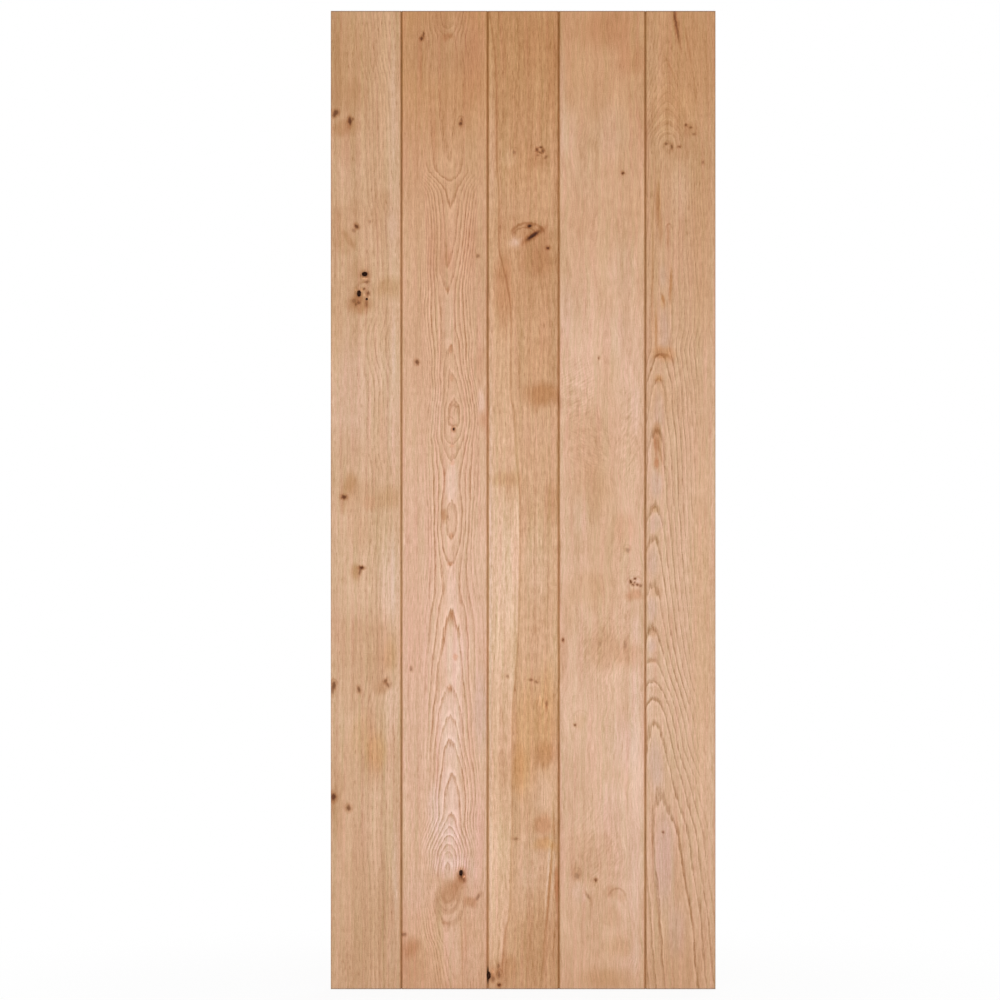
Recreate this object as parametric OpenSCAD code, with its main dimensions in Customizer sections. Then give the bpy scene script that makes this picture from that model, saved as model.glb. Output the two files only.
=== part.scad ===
// Ledged plank door leaf: five upright tongue-and-groove boards with V joints on the
// front, held by three ledges that are screwed on from the back and plugged.
// X runs across the leaf, Y from its front face to its back, Z up from its bottom edge.
// The origin is the middle of the bottom edge, halfway through the leaf and its ledges.

/* [Leaf] */
// Height of the leaf
leaf_h = 1981; // [1500:1:2400]
// Thickness of the boards
board_t = 20; // [17:0.5:30]
// Chamfer round the front edge of the leaf
front_arris = 1.2; // [0.5:0.1:3]
// Chamfer on the back edges of each board
back_arris = 0.8; // [0.3:0.1:2]

/* [Board face widths] */
// Board at the left edge
left_board_w = 143; // [110:1:220]
// Second board from the left
second_board_w = 175; // [110:1:220]
// Board in the middle
middle_board_w = 144; // [110:1:220]
// Fourth board from the left
fourth_board_w = 175; // [110:1:220]
// Board at the right edge
right_board_w = 142; // [110:1:220]

/* [Board joints] */
// Gap between the shoulders of neighbouring boards
joint_gap = 0.8; // [0.4:0.1:2]
// Width of the V cut into the front corner of a board
vee_w = 2.2; // [1:0.1:4]
// Depth of the V
vee_d = 3.2; // [1:0.1:5]
// Thickness of a tongue
tongue_t = 6; // [4:0.5:8]
// Length of a tongue beyond its shoulder
tongue_l = 8; // [5:0.5:12]
// Chamfer on the nose of a tongue
tongue_nose = 1; // [0.5:0.1:1.5]
// Play between a tongue and the walls of its groove
tongue_play = 0.15; // [0.1:0.05:0.4]
// Room left for movement between a tongue's nose and the bottom of its groove
groove_room = 1.2; // [0.5:0.1:3]

/* [Ledges] */
// Width of a ledge, measured up the leaf
ledge_w = 140; // [110:1:200]
// Thickness of a ledge
ledge_t = 22; // [18:0.5:32]
// Distance from the side of the leaf to the end of a ledge
ledge_inset = 20; // [10:1:30]
// Chamfer round the back face of a ledge
ledge_chamfer = 8; // [2:0.5:12]
// Distance from the top of the leaf to the middle of the top ledge
top_ledge_drop = 230; // [150:5:350]
// Distance from the bottom of the leaf to the middle of the bottom ledge
bottom_ledge_rise = 230; // [150:5:350]

/* [Screws and plugs] */
// Diameter of a screw's shank
screw_d = 5; // [4:0.5:6]
// Diameter of a screw's countersunk head
screw_head_d = 9.5; // [8:0.5:11]
// Straight rim round the top of the head
screw_head_rim = 0.5; // [0.3:0.1:1]
// Depth that a screw reaches into the boards
screw_bite = 13; // [8:0.5:15]
// Length of a screw's pointed tip
screw_tip = 5; // [3:0.5:7]
// Play between a screw and its hole
screw_play = 0.1; // [0.05:0.05:0.3]
// Distance from the side of a board to the nearest screw
screw_board_inset = 45; // [40:1:50]
// Distance from the edge of a ledge to the nearest screw
screw_ledge_inset = 35; // [25:1:45]
// Length of the cross recess in a screw's head
cross_l = 5; // [3:0.5:6]
// Width of the cross recess
cross_w = 1; // [0.6:0.1:1.5]
// Depth of the cross recess
cross_d = 2; // [1:0.1:2.5]
// Diameter of the wooden plug over a screw
plug_d = 12; // [12:0.5:16]
// Height of a plug
plug_h = 7; // [5:0.5:9]
// Play between a plug and its hole
plug_play = 0.05; // [0.02:0.01:0.2]

/* [Hidden] */
$fn = 48;

board_widths = [left_board_w, second_board_w, middle_board_w, fourth_board_w, right_board_w];
last_board = len(board_widths) - 1;

// Distance from the left side of the leaf to the left side of board i
function run_to(i) = i == 0 ? 0 : run_to(i - 1) + board_widths[i - 1];

leaf_w = run_to(len(board_widths));
// Place across the leaf of the joint line to the left of board i
function joint_x(i) = run_to(i) - leaf_w / 2;

front_y = -(board_t + ledge_t) / 2;
seat_y = front_y + board_t;
back_y = seat_y + ledge_t;

top_ledge_z = leaf_h - top_ledge_drop;
bottom_ledge_z = bottom_ledge_rise;
middle_ledge_z = (top_ledge_z + bottom_ledge_z) / 2;
ledge_heights = [bottom_ledge_z, middle_ledge_z, top_ledge_z];

// The tongue lies behind the V, in the middle of what is left of the board's edge
tongue_y = (vee_d + board_t - back_arris) / 2;
groove_d = tongue_l + groove_room;

screw_l = ledge_t - plug_h + screw_bite;
// Cutters run this far past the faces that they cut
overrun = 1;

oak_pink = [0.80, 0.65, 0.52];
oak_honey = [0.78, 0.62, 0.46];
oak_pale = [0.82, 0.67, 0.53];
oak_ledge = [0.77, 0.61, 0.46];
oak_plug = [0.70, 0.54, 0.39];
zinc_steel = [0.72, 0.71, 0.66];

// Outlines of a board's side in plan, from the front face to the back. x is the side's
// own place and inward is 1 where the board lies to the right of it, -1 to the left.
function plain_side(x, inward) = [
    [x + inward * front_arris, 0],
    [x, front_arris],
    [x, board_t - back_arris],
    [x + inward * back_arris, board_t]
];

function grooved_side(x) = let (half = tongue_t / 2 + tongue_play) [
    [x + vee_w, 0],
    [x, vee_d],
    [x, tongue_y - half],
    [x + groove_d, tongue_y - half],
    [x + groove_d, tongue_y + half],
    [x, tongue_y + half],
    [x, board_t - back_arris],
    [x + back_arris, board_t]
];

function tongued_side(x) = let (half = tongue_t / 2, nose = x + tongue_l) [
    [x - vee_w, 0],
    [x, vee_d],
    [x, tongue_y - half],
    [nose - tongue_nose, tongue_y - half],
    [nose, tongue_y - half + tongue_nose],
    [nose, tongue_y + half - tongue_nose],
    [nose - tongue_nose, tongue_y + half],
    [x, tongue_y + half],
    [x, board_t - back_arris],
    [x - back_arris, board_t]
];

function reversed(points) = [for (i = [len(points) - 1 : -1 : 0]) points[i]];

// Plan outline of board i: grooved on its left and tongued on its right, and plain at
// the two sides of the leaf
function board_outline(i) =
    let (
        left = i == 0
            ? plain_side(joint_x(0), 1)
            : grooved_side(joint_x(i) + joint_gap / 2),
        right = i == last_board
            ? plain_side(joint_x(i + 1), -1)
            : tongued_side(joint_x(i + 1) - joint_gap / 2)
    )
    concat(left, reversed(right));

// Screw places across board i, one for each row of screws in a ledge
function board_screws(i) = [
    joint_x(i) + screw_board_inset,
    joint_x(i + 1) - screw_board_inset
];

// Screw places [x, z] on a ledge whose middle is at height z: two to a board, staggered
function ledge_screws(z) = let (reach = ledge_w / 2 - screw_ledge_inset) [
    for (i = [0 : last_board], side = [0, 1])
        [board_screws(i)[side], z + (side == 0 ? reach : -reach)]
];

// Profile of a screw from its axis outwards, with its head at height 0 and its point
// below, grown by play where it cuts its own hole
function screw_profile(play) =
    let (head_r = screw_head_d / 2 + play, shank_r = screw_d / 2 + play)
    [
        [0, 0],
        [head_r, 0],
        [head_r, -screw_head_rim],
        [shank_r, -screw_head_rim - (head_r - shank_r)],
        [shank_r, -(screw_l - screw_tip)],
        [0, -(screw_l + play)]
    ];

// Turns a shape that is drawn upright so that its top faces the back of the leaf, and
// puts it at each place with its height 0 at y
module at_places(places, y) {
    for (p = places)
        translate([p.x, y, p.y]) rotate([-90, 0, 0]) children();
}

// What the drill takes out for each screw and its plug
module screw_holes(places) {
    at_places(places, back_y - plug_h) {
        rotate_extrude() polygon(screw_profile(screw_play));
        cylinder(d = plug_d + 2 * plug_play, h = plug_h + overrun);
    }
}

// Long triangular cutter for a chamfer of a given size along X, its corner on the edge
module end_chamfer(size, y, z, toward_y, toward_z) {
    reach = leaf_w + 2 * overrun;
    translate([-reach / 2, y, z]) rotate([90, 0, 90]) linear_extrude(reach)
        polygon([
            [-toward_y * overrun, -toward_z * overrun],
            [toward_y * (size + overrun), -toward_z * overrun],
            [-toward_y * overrun, toward_z * (size + overrun)]
        ]);
}

module board(i) {
    difference() {
        translate([0, front_y, 0]) linear_extrude(leaf_h) polygon(board_outline(i));
        end_chamfer(front_arris, front_y, 0, 1, 1);
        end_chamfer(front_arris, front_y, leaf_h, 1, -1);
        end_chamfer(back_arris, seat_y, 0, -1, 1);
        end_chamfer(back_arris, seat_y, leaf_h, -1, -1);
        for (z = ledge_heights)
            screw_holes([for (p = ledge_screws(z)) if (p.x > joint_x(i) && p.x < joint_x(i + 1)) p]);
    }
}

// Section of a ledge through its length, its flat front on the boards
function ledge_section() = [
    [0, -ledge_w / 2],
    [ledge_t - ledge_chamfer, -ledge_w / 2],
    [ledge_t, -ledge_w / 2 + ledge_chamfer],
    [ledge_t, ledge_w / 2 - ledge_chamfer],
    [ledge_t - ledge_chamfer, ledge_w / 2],
    [0, ledge_w / 2]
];

// The same chamfer seen from above, across the ends of a ledge
function ledge_plan() = let (end = leaf_w / 2 - ledge_inset) [
    [-end, 0],
    [end, 0],
    [end, ledge_t - ledge_chamfer],
    [end - ledge_chamfer, ledge_t],
    [-end + ledge_chamfer, ledge_t],
    [-end, ledge_t - ledge_chamfer]
];

module ledge(z) {
    difference() {
        translate([0, seat_y, z]) intersection() {
            translate([-leaf_w / 2, 0, 0]) rotate([90, 0, 90]) linear_extrude(leaf_w)
                polygon(ledge_section());
            translate([0, 0, -ledge_w]) linear_extrude(2 * ledge_w) polygon(ledge_plan());
        }
        screw_holes(ledge_screws(z));
    }
}

module screws(z) {
    at_places(ledge_screws(z), back_y - plug_h) difference() {
        rotate_extrude() polygon(screw_profile(0));
        for (turn = [0, 90])
            rotate(turn) translate([-cross_l / 2, -cross_w / 2, -cross_d])
                cube([cross_l, cross_w, cross_d + overrun]);
    }
}

module plugs(z) {
    at_places(ledge_screws(z), back_y - plug_h) cylinder(d = plug_d, h = plug_h);
}

module left_board() { color(oak_pink) board(0); }
module second_board() { color(oak_pink) board(1); }
module middle_board() { color(oak_honey) board(2); }
module fourth_board() { color(oak_pale) board(3); }
module right_board() { color(oak_honey) board(4); }
module top_ledge() { color(oak_ledge) ledge(top_ledge_z); }
module middle_ledge() { color(oak_ledge) ledge(middle_ledge_z); }
module bottom_ledge() { color(oak_ledge) ledge(bottom_ledge_z); }
module top_ledge_screws() { color(zinc_steel) screws(top_ledge_z); }
module middle_ledge_screws() { color(zinc_steel) screws(middle_ledge_z); }
module bottom_ledge_screws() { color(zinc_steel) screws(bottom_ledge_z); }
module top_ledge_plugs() { color(oak_plug) plugs(top_ledge_z); }
module middle_ledge_plugs() { color(oak_plug) plugs(middle_ledge_z); }
module bottom_ledge_plugs() { color(oak_plug) plugs(bottom_ledge_z); }

left_board();
second_board();
middle_board();
fourth_board();
right_board();
top_ledge();
middle_ledge();
bottom_ledge();
top_ledge_screws();
middle_ledge_screws();
bottom_ledge_screws();
top_ledge_plugs();
middle_ledge_plugs();
bottom_ledge_plugs();
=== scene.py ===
# %% [markdown]
# # A ledged plank door in knotty oak
# Five upright oak boards make the front of this door leaf. Their long edges are joined by tongues and
# grooves, with a V cut along each joint. Three ledges on the back hold the boards together, fixed by screws
# under plugs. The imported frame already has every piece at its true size, so this lesson is mostly about the
# wood: where each board's rings, knots and stains lie, and how light falls on them.

# %% Load the frame
import math
from dataclasses import dataclass, replace

import bpy
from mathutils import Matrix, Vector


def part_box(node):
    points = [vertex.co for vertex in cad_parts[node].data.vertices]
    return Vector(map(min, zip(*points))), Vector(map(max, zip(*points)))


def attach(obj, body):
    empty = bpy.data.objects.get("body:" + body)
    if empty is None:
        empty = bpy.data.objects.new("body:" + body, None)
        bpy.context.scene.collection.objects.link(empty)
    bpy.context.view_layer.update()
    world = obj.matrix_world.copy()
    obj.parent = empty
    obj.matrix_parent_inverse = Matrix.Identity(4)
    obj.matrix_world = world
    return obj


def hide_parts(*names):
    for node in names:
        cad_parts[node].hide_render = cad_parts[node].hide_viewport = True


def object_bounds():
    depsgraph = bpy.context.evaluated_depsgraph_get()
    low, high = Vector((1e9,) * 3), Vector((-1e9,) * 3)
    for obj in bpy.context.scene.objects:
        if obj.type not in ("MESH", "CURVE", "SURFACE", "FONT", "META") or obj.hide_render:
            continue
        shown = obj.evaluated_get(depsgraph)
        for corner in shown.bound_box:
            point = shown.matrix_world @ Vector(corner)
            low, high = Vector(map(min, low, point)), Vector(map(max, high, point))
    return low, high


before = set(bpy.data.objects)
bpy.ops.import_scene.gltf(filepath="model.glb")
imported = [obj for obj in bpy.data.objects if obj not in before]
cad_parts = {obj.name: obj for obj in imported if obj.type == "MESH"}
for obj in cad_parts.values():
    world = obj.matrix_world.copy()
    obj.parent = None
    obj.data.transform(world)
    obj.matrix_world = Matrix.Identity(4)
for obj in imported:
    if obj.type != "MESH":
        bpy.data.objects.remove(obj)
CAD_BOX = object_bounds()
LEAF_LOW, LEAF_HIGH = CAD_BOX
LEAF_WIDTH = LEAF_HIGH.x - LEAF_LOW.x
LEAF_HEIGHT = LEAF_HIGH.z - LEAF_LOW.z
FRONT_FACE = LEAF_LOW.y
print("leaf", round(LEAF_WIDTH, 4), "wide and", round(LEAF_HEIGHT, 4), "high, in metres")

# %% [markdown]
# ## Places on the leaf
# A knot is easiest to find by the column and row where it shows in the photograph. The leaf fills a known
# rectangle there, square on, so two small helpers turn a column into a distance across the leaf and a row
# into a height. A length in pixels becomes a length in metres by the same scale.

# %% From photograph to leaf
PHOTO_SIZE = 1000
PHOTO_LEFT = 330.7
PHOTO_RIGHT = 715.6
PHOTO_TOP = 10.85
PHOTO_BOTTOM = 989.18
PIXEL = LEAF_HEIGHT / (PHOTO_BOTTOM - PHOTO_TOP)
DISPLAY_STEPS = 255
DISPLAY_TOE = 0.055
DISPLAY_POWER = 2.4


def across(column):
    """Distance across the leaf, from its middle, of a column of the photograph."""
    return (column - (PHOTO_LEFT + PHOTO_RIGHT) / 2) * PIXEL


def rise(row):
    """Height above the foot of the leaf of a row of the photograph."""
    return (PHOTO_BOTTOM - row) * PIXEL


def display(red, green, blue):
    """A colour as seen on a display, 0 to 255, turned into the linear colour that shaders use."""
    parts = [part / DISPLAY_STEPS for part in (red, green, blue)]
    linear = [((part + DISPLAY_TOE) / (1 + DISPLAY_TOE)) ** DISPLAY_POWER for part in parts]
    return (*linear, 1.0)


print("one pixel is", round(PIXEL * 1000, 3), "mm")

# %% [markdown]
# ## The camera
# The photograph looks straight at the front from far away: no side of the leaf shows, and its edges are
# parallel. A long lens at nine metres gives that. The leaf stands a little right of the middle of the
# picture, so the camera stands a little left of the middle of the leaf, and needs no lens shift.

# %% Camera
CAMERA_DISTANCE = 9.0
SENSOR_WIDTH = 36.0

camera_data = bpy.data.cameras.new("photo_camera")
camera_data.sensor_width = SENSOR_WIDTH
camera_data.lens = SENSOR_WIDTH * CAMERA_DISTANCE / (PHOTO_SIZE * PIXEL)
camera = bpy.data.objects.new("photo_camera", camera_data)
bpy.context.scene.collection.objects.link(camera)
camera.location = (across(PHOTO_SIZE / 2), FRONT_FACE - CAMERA_DISTANCE, rise(PHOTO_SIZE / 2))
camera.rotation_euler = (math.radians(90), 0, 0)
bpy.context.scene.camera = camera
print("camera lens", round(camera_data.lens, 1), "mm")

# %% [markdown]
# ## Formulas made of nodes
# A material is a tree of small nodes. Here a node's output is wrapped as a flow, and a flow can be added,
# multiplied and so on like a number, so that a tree can be written and read as a formula. Each sign adds
# one node to the flow's own tree. A value that is handed in may be a plain number or another flow.

# %% Flows
WHITE = (1.0, 1.0, 1.0, 1.0)


class Flow:
    """A node's output, for use in formulas."""

    def __init__(self, socket):
        self.socket = socket
        self.tree = socket.id_data

    def __add__(self, other):
        return calc("ADD", self, other)

    def __sub__(self, other):
        return calc("SUBTRACT", self, other)

    def __rsub__(self, other):
        return calc("SUBTRACT", other, self)

    def __mul__(self, other):
        return calc("MULTIPLY", self, other)

    def __truediv__(self, other):
        return calc("DIVIDE", self, other)

    def __abs__(self):
        return calc("ABSOLUTE", self)


def feed(socket, value):
    """Join a flow to a socket, or write a plain value on it."""
    if isinstance(value, Flow):
        socket.id_data.links.new(value.socket, socket)
    else:
        socket.default_value = value


def add(tree, kind, *values, **settings):
    """Add a node, set its options and feed its first sockets."""
    node = tree.nodes.new(kind)
    for name, setting in settings.items():
        setattr(node, name, setting)
    for socket, value in zip(node.inputs, values):
        feed(socket, value)
    return node


def tree_of(*values):
    """The tree of the first flow among some values."""
    return next(value.tree for value in values if isinstance(value, Flow))


def calc(operation, *values):
    return Flow(add(tree_of(*values), "ShaderNodeMath", *values, operation=operation).outputs[0])


def vector_calc(operation, *values, output=0):
    node = add(tree_of(*values), "ShaderNodeVectorMath", *values, operation=operation)
    return Flow(node.outputs[output])


def hypotenuse(one_side, other_side):
    return calc("SQRT", calc("MULTIPLY_ADD", one_side, one_side, other_side * other_side))


def split(vector):
    """The X, Y and Z of a vector."""
    return [Flow(part) for part in add(vector.tree, "ShaderNodeSeparateXYZ", vector).outputs]


def join(*parts):
    """A vector of three parts."""
    return Flow(add(tree_of(*parts), "ShaderNodeCombineXYZ", *parts).outputs[0])


def ramp(value, start, end, low=0.0, high=1.0):
    """A smooth step from low to high while the value goes from start to end."""
    values = (value, start, end, low, high)
    return Flow(add(value.tree, "ShaderNodeMapRange", *values, interpolation_type="SMOOTHSTEP").outputs[0])


print("formulas ready")

# %% [markdown]
# ## Noise, colours and groups
# Noise gets its own number of grains per metre along each axis, because wood is much finer across the grain
# than along it. Colours are laid over each other, or multiplied by a tint. What several materials share
# becomes a group, which is a tree with named sockets.

# %% Noise, colour and group helpers
MIX_FACTOR, MIX_UNDER, MIX_OVER, MIX_RESULT = 0, 6, 7, 2
NOISE_MIDDLE = 0.5


def noise_node(place, grains, detail=2.0, roughness=0.5):
    node = add(place.tree, "ShaderNodeTexNoise")
    feed(node.inputs["Vector"], vector_calc("MULTIPLY", place, grains))
    feed(node.inputs["Scale"], 1.0)
    feed(node.inputs["Detail"], detail)
    feed(node.inputs["Roughness"], roughness)
    return node


def noise(place, grains, detail=2.0, roughness=0.5):
    """Soft noise from 0 to 1."""
    return Flow(noise_node(place, grains, detail, roughness).outputs[0])


def swing(place, grains, detail=2.0, roughness=0.5):
    """Soft noise that swings to both sides of 0."""
    return noise(place, grains, detail, roughness) - NOISE_MIDDLE


def warped(place, grains, amount):
    """A place moved a little by noise, so that what is drawn there gets an uneven outline."""
    colour = Flow(noise_node(place, grains).outputs["Color"])
    push = vector_calc("SUBTRACT", colour, (NOISE_MIDDLE, NOISE_MIDDLE, NOISE_MIDDLE))
    return vector_calc("MULTIPLY_ADD", push, amount, place)


def blend(factor, under, over, way="MIX"):
    node = add(tree_of(factor, under, over), "ShaderNodeMix", data_type="RGBA", blend_type=way)
    feed(node.inputs[MIX_FACTOR], factor)
    feed(node.inputs[MIX_UNDER], under)
    feed(node.inputs[MIX_OVER], over)
    return Flow(node.outputs[MIX_RESULT])


def tinted(colour, mask, tint):
    """A colour that is multiplied by a tint where the mask is 1."""
    return blend(mask, colour, tint, "MULTIPLY")


def new_group(name, inputs, outputs):
    """An empty group, the flows of its inputs by name, and its output sockets."""
    tree = bpy.data.node_groups.new(name, "ShaderNodeTree")
    for direction, sockets in (("INPUT", inputs), ("OUTPUT", outputs)):
        for kind, names in sockets.items():
            for socket_name in names:
                tree.interface.new_socket(socket_name, in_out=direction, socket_type="NodeSocket" + kind)
    given = {socket.name: Flow(socket) for socket in tree.nodes.new("NodeGroupInput").outputs}
    return tree, given, tree.nodes.new("NodeGroupOutput").inputs


def use_group(tree, group, values):
    """Place a group in a tree and feed its sockets by name. Gives back its output flows by name."""
    node = add(tree, "ShaderNodeGroup", node_tree=group)
    for name, value in values.items():
        feed(node.inputs[name], value)
    return {socket.name: Flow(socket) for socket in node.outputs}


print("noise, colour and group helpers ready")

# %% [markdown]
# ## Growth rings
# A board is a slice of a trunk, and each ring in it is a cylinder round the heart of the tree. The heart
# isn't straight, so the cylinders cut the face of the board in arches and long lines. The group measures
# how far a point is from the heart, counts that in rings, and draws the porous early wood of each ring as a
# dark line. Two values that change along the board, the heart's place and the number of rings in front of
# it, put every arch where the real board has it. The pattern is solid, so the ends and edges show the same
# rings.

# %% [markdown]
# A line is as wide in millimetres where the rings lie close as where they lie apart, so its share of a ring
# follows from how steeply the count changes there. Far from the heart the lines fade. Just before each line
# the wood is palest. Some summers were better than others, so the rings aren't evenly wide. Where the bark
# side of a board faces front, a line starts sharply on its outer side, and otherwise on its inner side.

# %% Growth ring group
TEETH_GRAINS = (180.0, 180.0, 25.0)
SUMMER_GRAINS = 0.5
LEAST_LINE_SHARE = 0.12
MOST_LINE_SHARE = 0.42
# Parts of a line's share, counted from where its ring starts.
LINE_BEFORE = 0.5
LINE_AFTER_FULL = 0.3
LINE_AFTER_END = 1.7
LATE_START = 1.9
LATE_FULL = 0.8
FAR_LINES = 0.1
# Distances from the heart, as parts of a board's reach.
FADE_START = 0.7
FADE_END = 1.5

ring_group, given, made = new_group(
    "growth_rings",
    {"Vector": ["Place", "Figure"],
     "Float": ["Heart", "Count", "Slope", "Spacing", "Roundness", "Wobble", "Ragged", "Reach", "Line Width",
               "Bark In Front", "Uneven"]},
    {"Float": ["Line", "Ring Tone", "Late"]})
place = given["Place"]
side, depth, _ = split(place)
from_side = side - given["Heart"]
side_rings = from_side / given["Spacing"]
from_heart = hypotenuse(side_rings, depth / given["Spacing"] + given["Roundness"])
ring_number = from_heart - given["Roundness"] + given["Count"]
ring_number = ring_number + swing(place, given["Figure"]) * given["Wobble"]
ring_number = ring_number + swing(place, TEETH_GRAINS, detail=3.0) * given["Ragged"]
summer = add(ring_group, "ShaderNodeTexNoise", noise_dimensions="1D")
feed(summer.inputs["W"], ring_number)
feed(summer.inputs["Scale"], SUMMER_GRAINS)
feed(summer.inputs["Detail"], 0.0)
ring_number = ring_number + (Flow(summer.outputs[0]) - NOISE_MIDDLE) * given["Uneven"]
phase = abs(given["Bark In Front"] - calc("FRACT", ring_number))
steepness = hypotenuse(side_rings / (from_heart * given["Spacing"]), given["Slope"])
share = calc("MINIMUM", steepness * given["Line Width"] + LEAST_LINE_SHARE, MOST_LINE_SHARE)
before = ramp(phase, 1.0 - share * LINE_BEFORE, 1.0)
after = ramp(phase, share * LINE_AFTER_END, share * LINE_AFTER_FULL)
late = ramp(phase, 1.0 - share * LATE_START, 1.0 - share * LATE_FULL) * (1.0 - before)
fade = ramp(abs(from_side) / given["Reach"], FADE_END, FADE_START, FAR_LINES, 1.0)
tone = add(ring_group, "ShaderNodeTexWhiteNoise", noise_dimensions="1D")
feed(tone.inputs["W"], calc("FLOOR", ring_number))
feed(made["Line"], (before + after) * fade)
feed(made["Ring Tone"], Flow(tone.outputs["Value"]))
feed(made["Late"], late * fade)
print("group", ring_group.name, "has", len(ring_group.nodes), "nodes")

# %% [markdown]
# ## Fibres, pores and flecks
# Between the rings, oak shows fine streaks along the grain, open pores like short pencil marks, and here
# and there the silky flecks of its rays. All are noise that is stretched along the board, each at its own
# scale.

# %% Fibre group
BAND_GRAINS = (75.0, 75.0, 1.8)
HUE_GRAINS = (140.0, 140.0, 5.0)
STREAK_GRAINS = (330.0, 330.0, 14.0)
STREAK_ROUGHNESS = 0.6
THREAD_GRAINS = (820.0, 820.0, 50.0)
THREAD_SHARE = 1.1
GRIT_GRAINS = (560.0, 560.0, 420.0)
GRIT_SHARE = 0.55
PORE_GRAINS = (1300.0, 1300.0, 80.0)
PORE_RAMP = (0.55, 0.72)
FLECK_GRAINS = (170.0, 170.0, 60.0)
FLECK_RAMP = (0.35, 0.65, -0.5, 0.5)
MOTTLE_GRAINS = (16.0, 16.0, 6.0)

fibre_group, given, made = new_group(
    "oak_fibres", {"Vector": ["Place"]}, {"Float": ["Bands", "Hue", "Streak", "Pores", "Fleck", "Mottle"]})
place = given["Place"]
streak = swing(place, STREAK_GRAINS, roughness=STREAK_ROUGHNESS)
streak = streak + swing(place, THREAD_GRAINS, detail=1.0) * THREAD_SHARE
streak = streak + swing(place, GRIT_GRAINS, detail=0.0) * GRIT_SHARE
feed(made["Bands"], swing(place, BAND_GRAINS, detail=1.0))
feed(made["Hue"], swing(place, HUE_GRAINS, detail=1.0))
feed(made["Streak"], streak)
feed(made["Pores"], ramp(noise(place, PORE_GRAINS, detail=0.0), *PORE_RAMP))
feed(made["Fleck"], ramp(noise(place, FLECK_GRAINS, detail=1.0), *FLECK_RAMP))
feed(made["Mottle"], swing(place, MOTTLE_GRAINS, detail=3.0))
print("group", fibre_group.name, "has", len(fibre_group.nodes), "nodes")

# %% [markdown]
# ## Knots and stains
# A knot is a branch that runs through the board. On the face it is an oval with a dark core and a brown
# rim, and a stain is a larger oval with a soft edge. One group measures how far a point is from an oval, in
# ovals, along two arrows that lean with it, and gives a core, a rim, a stain's blush, a wide swell that the
# rings bend round, and a thin brow over a knot's eye. Each mask but the brow starts at one distance and is
# full at another.

# %% Oval group
OVAL_MASKS = {"Core": (1.3, 0.4), "Rim": (2.3, 0.9), "Blush": (1.35, 0.35), "Swell": (5.0, 0.0)}
BROW_LINE = (0.2, 0.04)
BROW_RISE = (-0.3, 0.4)

oval_group, given, made = new_group(
    "knot_oval", {"Vector": ["Place", "Centre", "Across", "Along"]}, {"Float": [*OVAL_MASKS, "Brow"]})
from_centre = vector_calc("SUBTRACT", given["Place"], given["Centre"])
beside = vector_calc("DOT_PRODUCT", from_centre, given["Across"], output="Value")
above = vector_calc("DOT_PRODUCT", from_centre, given["Along"], output="Value")
distance = hypotenuse(beside, above)
for name, (start, full) in OVAL_MASKS.items():
    feed(made[name], ramp(distance, start, full))
feed(made["Brow"], ramp(abs(distance - 1.0), *BROW_LINE) * ramp(above, *BROW_RISE))
print("group", oval_group.name, "has", len(oval_group.nodes), "nodes")

# %% [markdown]
# ## Colour from the wood's masks
# Every oak surface mixes its colour in the same order: pale late wood, darker early wood lines, bands,
# streaks, flecks and a broad mottle, then pores. The group does that once and also gives the roughness and
# the height for the bump. Blue swings more than red with the light and dark of the wood, as it does in real
# oak.

# %% Oak colour group
PORE_TINT = (0.72, 0.60, 0.48, 1.0)
PORES_IN_LINES = 0.6
PORES_BETWEEN = 0.3
PORE_DEPTH = -0.6
GAIN_BY_CHANNEL = (0.75, 1.0, 1.4)
HUE_BY_CHANNEL = (0.13, -0.10, 0.10)
LATE_GAIN = 0.13
FAINTEST_RING = 0.4
LINE_BY_MOTTLE = (-0.2, 0.2, 0.55, 1.1)
LINE_BY_STREAK = (0.25, -0.2, 0.5, 1.0)
ROUGHNESS_BY_STREAK = (-0.3, 0.3, 0.7, 0.56)

oak_group, given, made = new_group(
    "oak_colour",
    {"Color": ["Pale", "Early"],
     "Float": ["Line", "Ring Tone", "Late", "Line Strength", "Bands", "Bands Strength", "Hue", "Streak",
               "Streak Strength", "Pores", "Fleck", "Mottle", "Mottle Strength"]},
    {"Color": ["Colour"], "Float": ["Roughness", "Height"]})
line_share = given["Ring Tone"] * (1.0 - FAINTEST_RING) + FAINTEST_RING
line_share = line_share * ramp(given["Mottle"], *LINE_BY_MOTTLE)
line_amount = given["Line"] * line_share * given["Line Strength"] * ramp(given["Streak"], *LINE_BY_STREAK)
oak_tone = blend(calc("MINIMUM", line_amount, 1.0), given["Pale"], given["Early"])
gain = given["Late"] * given["Line Strength"] * LATE_GAIN + given["Fleck"]
for name in ("Bands", "Streak", "Mottle"):
    gain = gain + given[name] * given[name + " Strength"]
gains = vector_calc("MULTIPLY_ADD", join(gain, gain, gain), GAIN_BY_CHANNEL, (1.0, 1.0, 1.0))
hues = join(given["Hue"], given["Hue"], given["Hue"])
gains = vector_calc("MULTIPLY_ADD", hues, HUE_BY_CHANNEL, gains)
oak_tone = tinted(oak_tone, 1.0, gains)
pore_amount = given["Pores"] * (given["Line"] * PORES_IN_LINES + PORES_BETWEEN)
feed(made["Colour"], tinted(oak_tone, pore_amount, PORE_TINT))
feed(made["Roughness"], ramp(given["Streak"], *ROUGHNESS_BY_STREAK))
feed(made["Height"], given["Pores"] * PORE_DEPTH + given["Streak"])
print("group", oak_group.name, "has", len(oak_group.nodes), "nodes")
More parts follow.
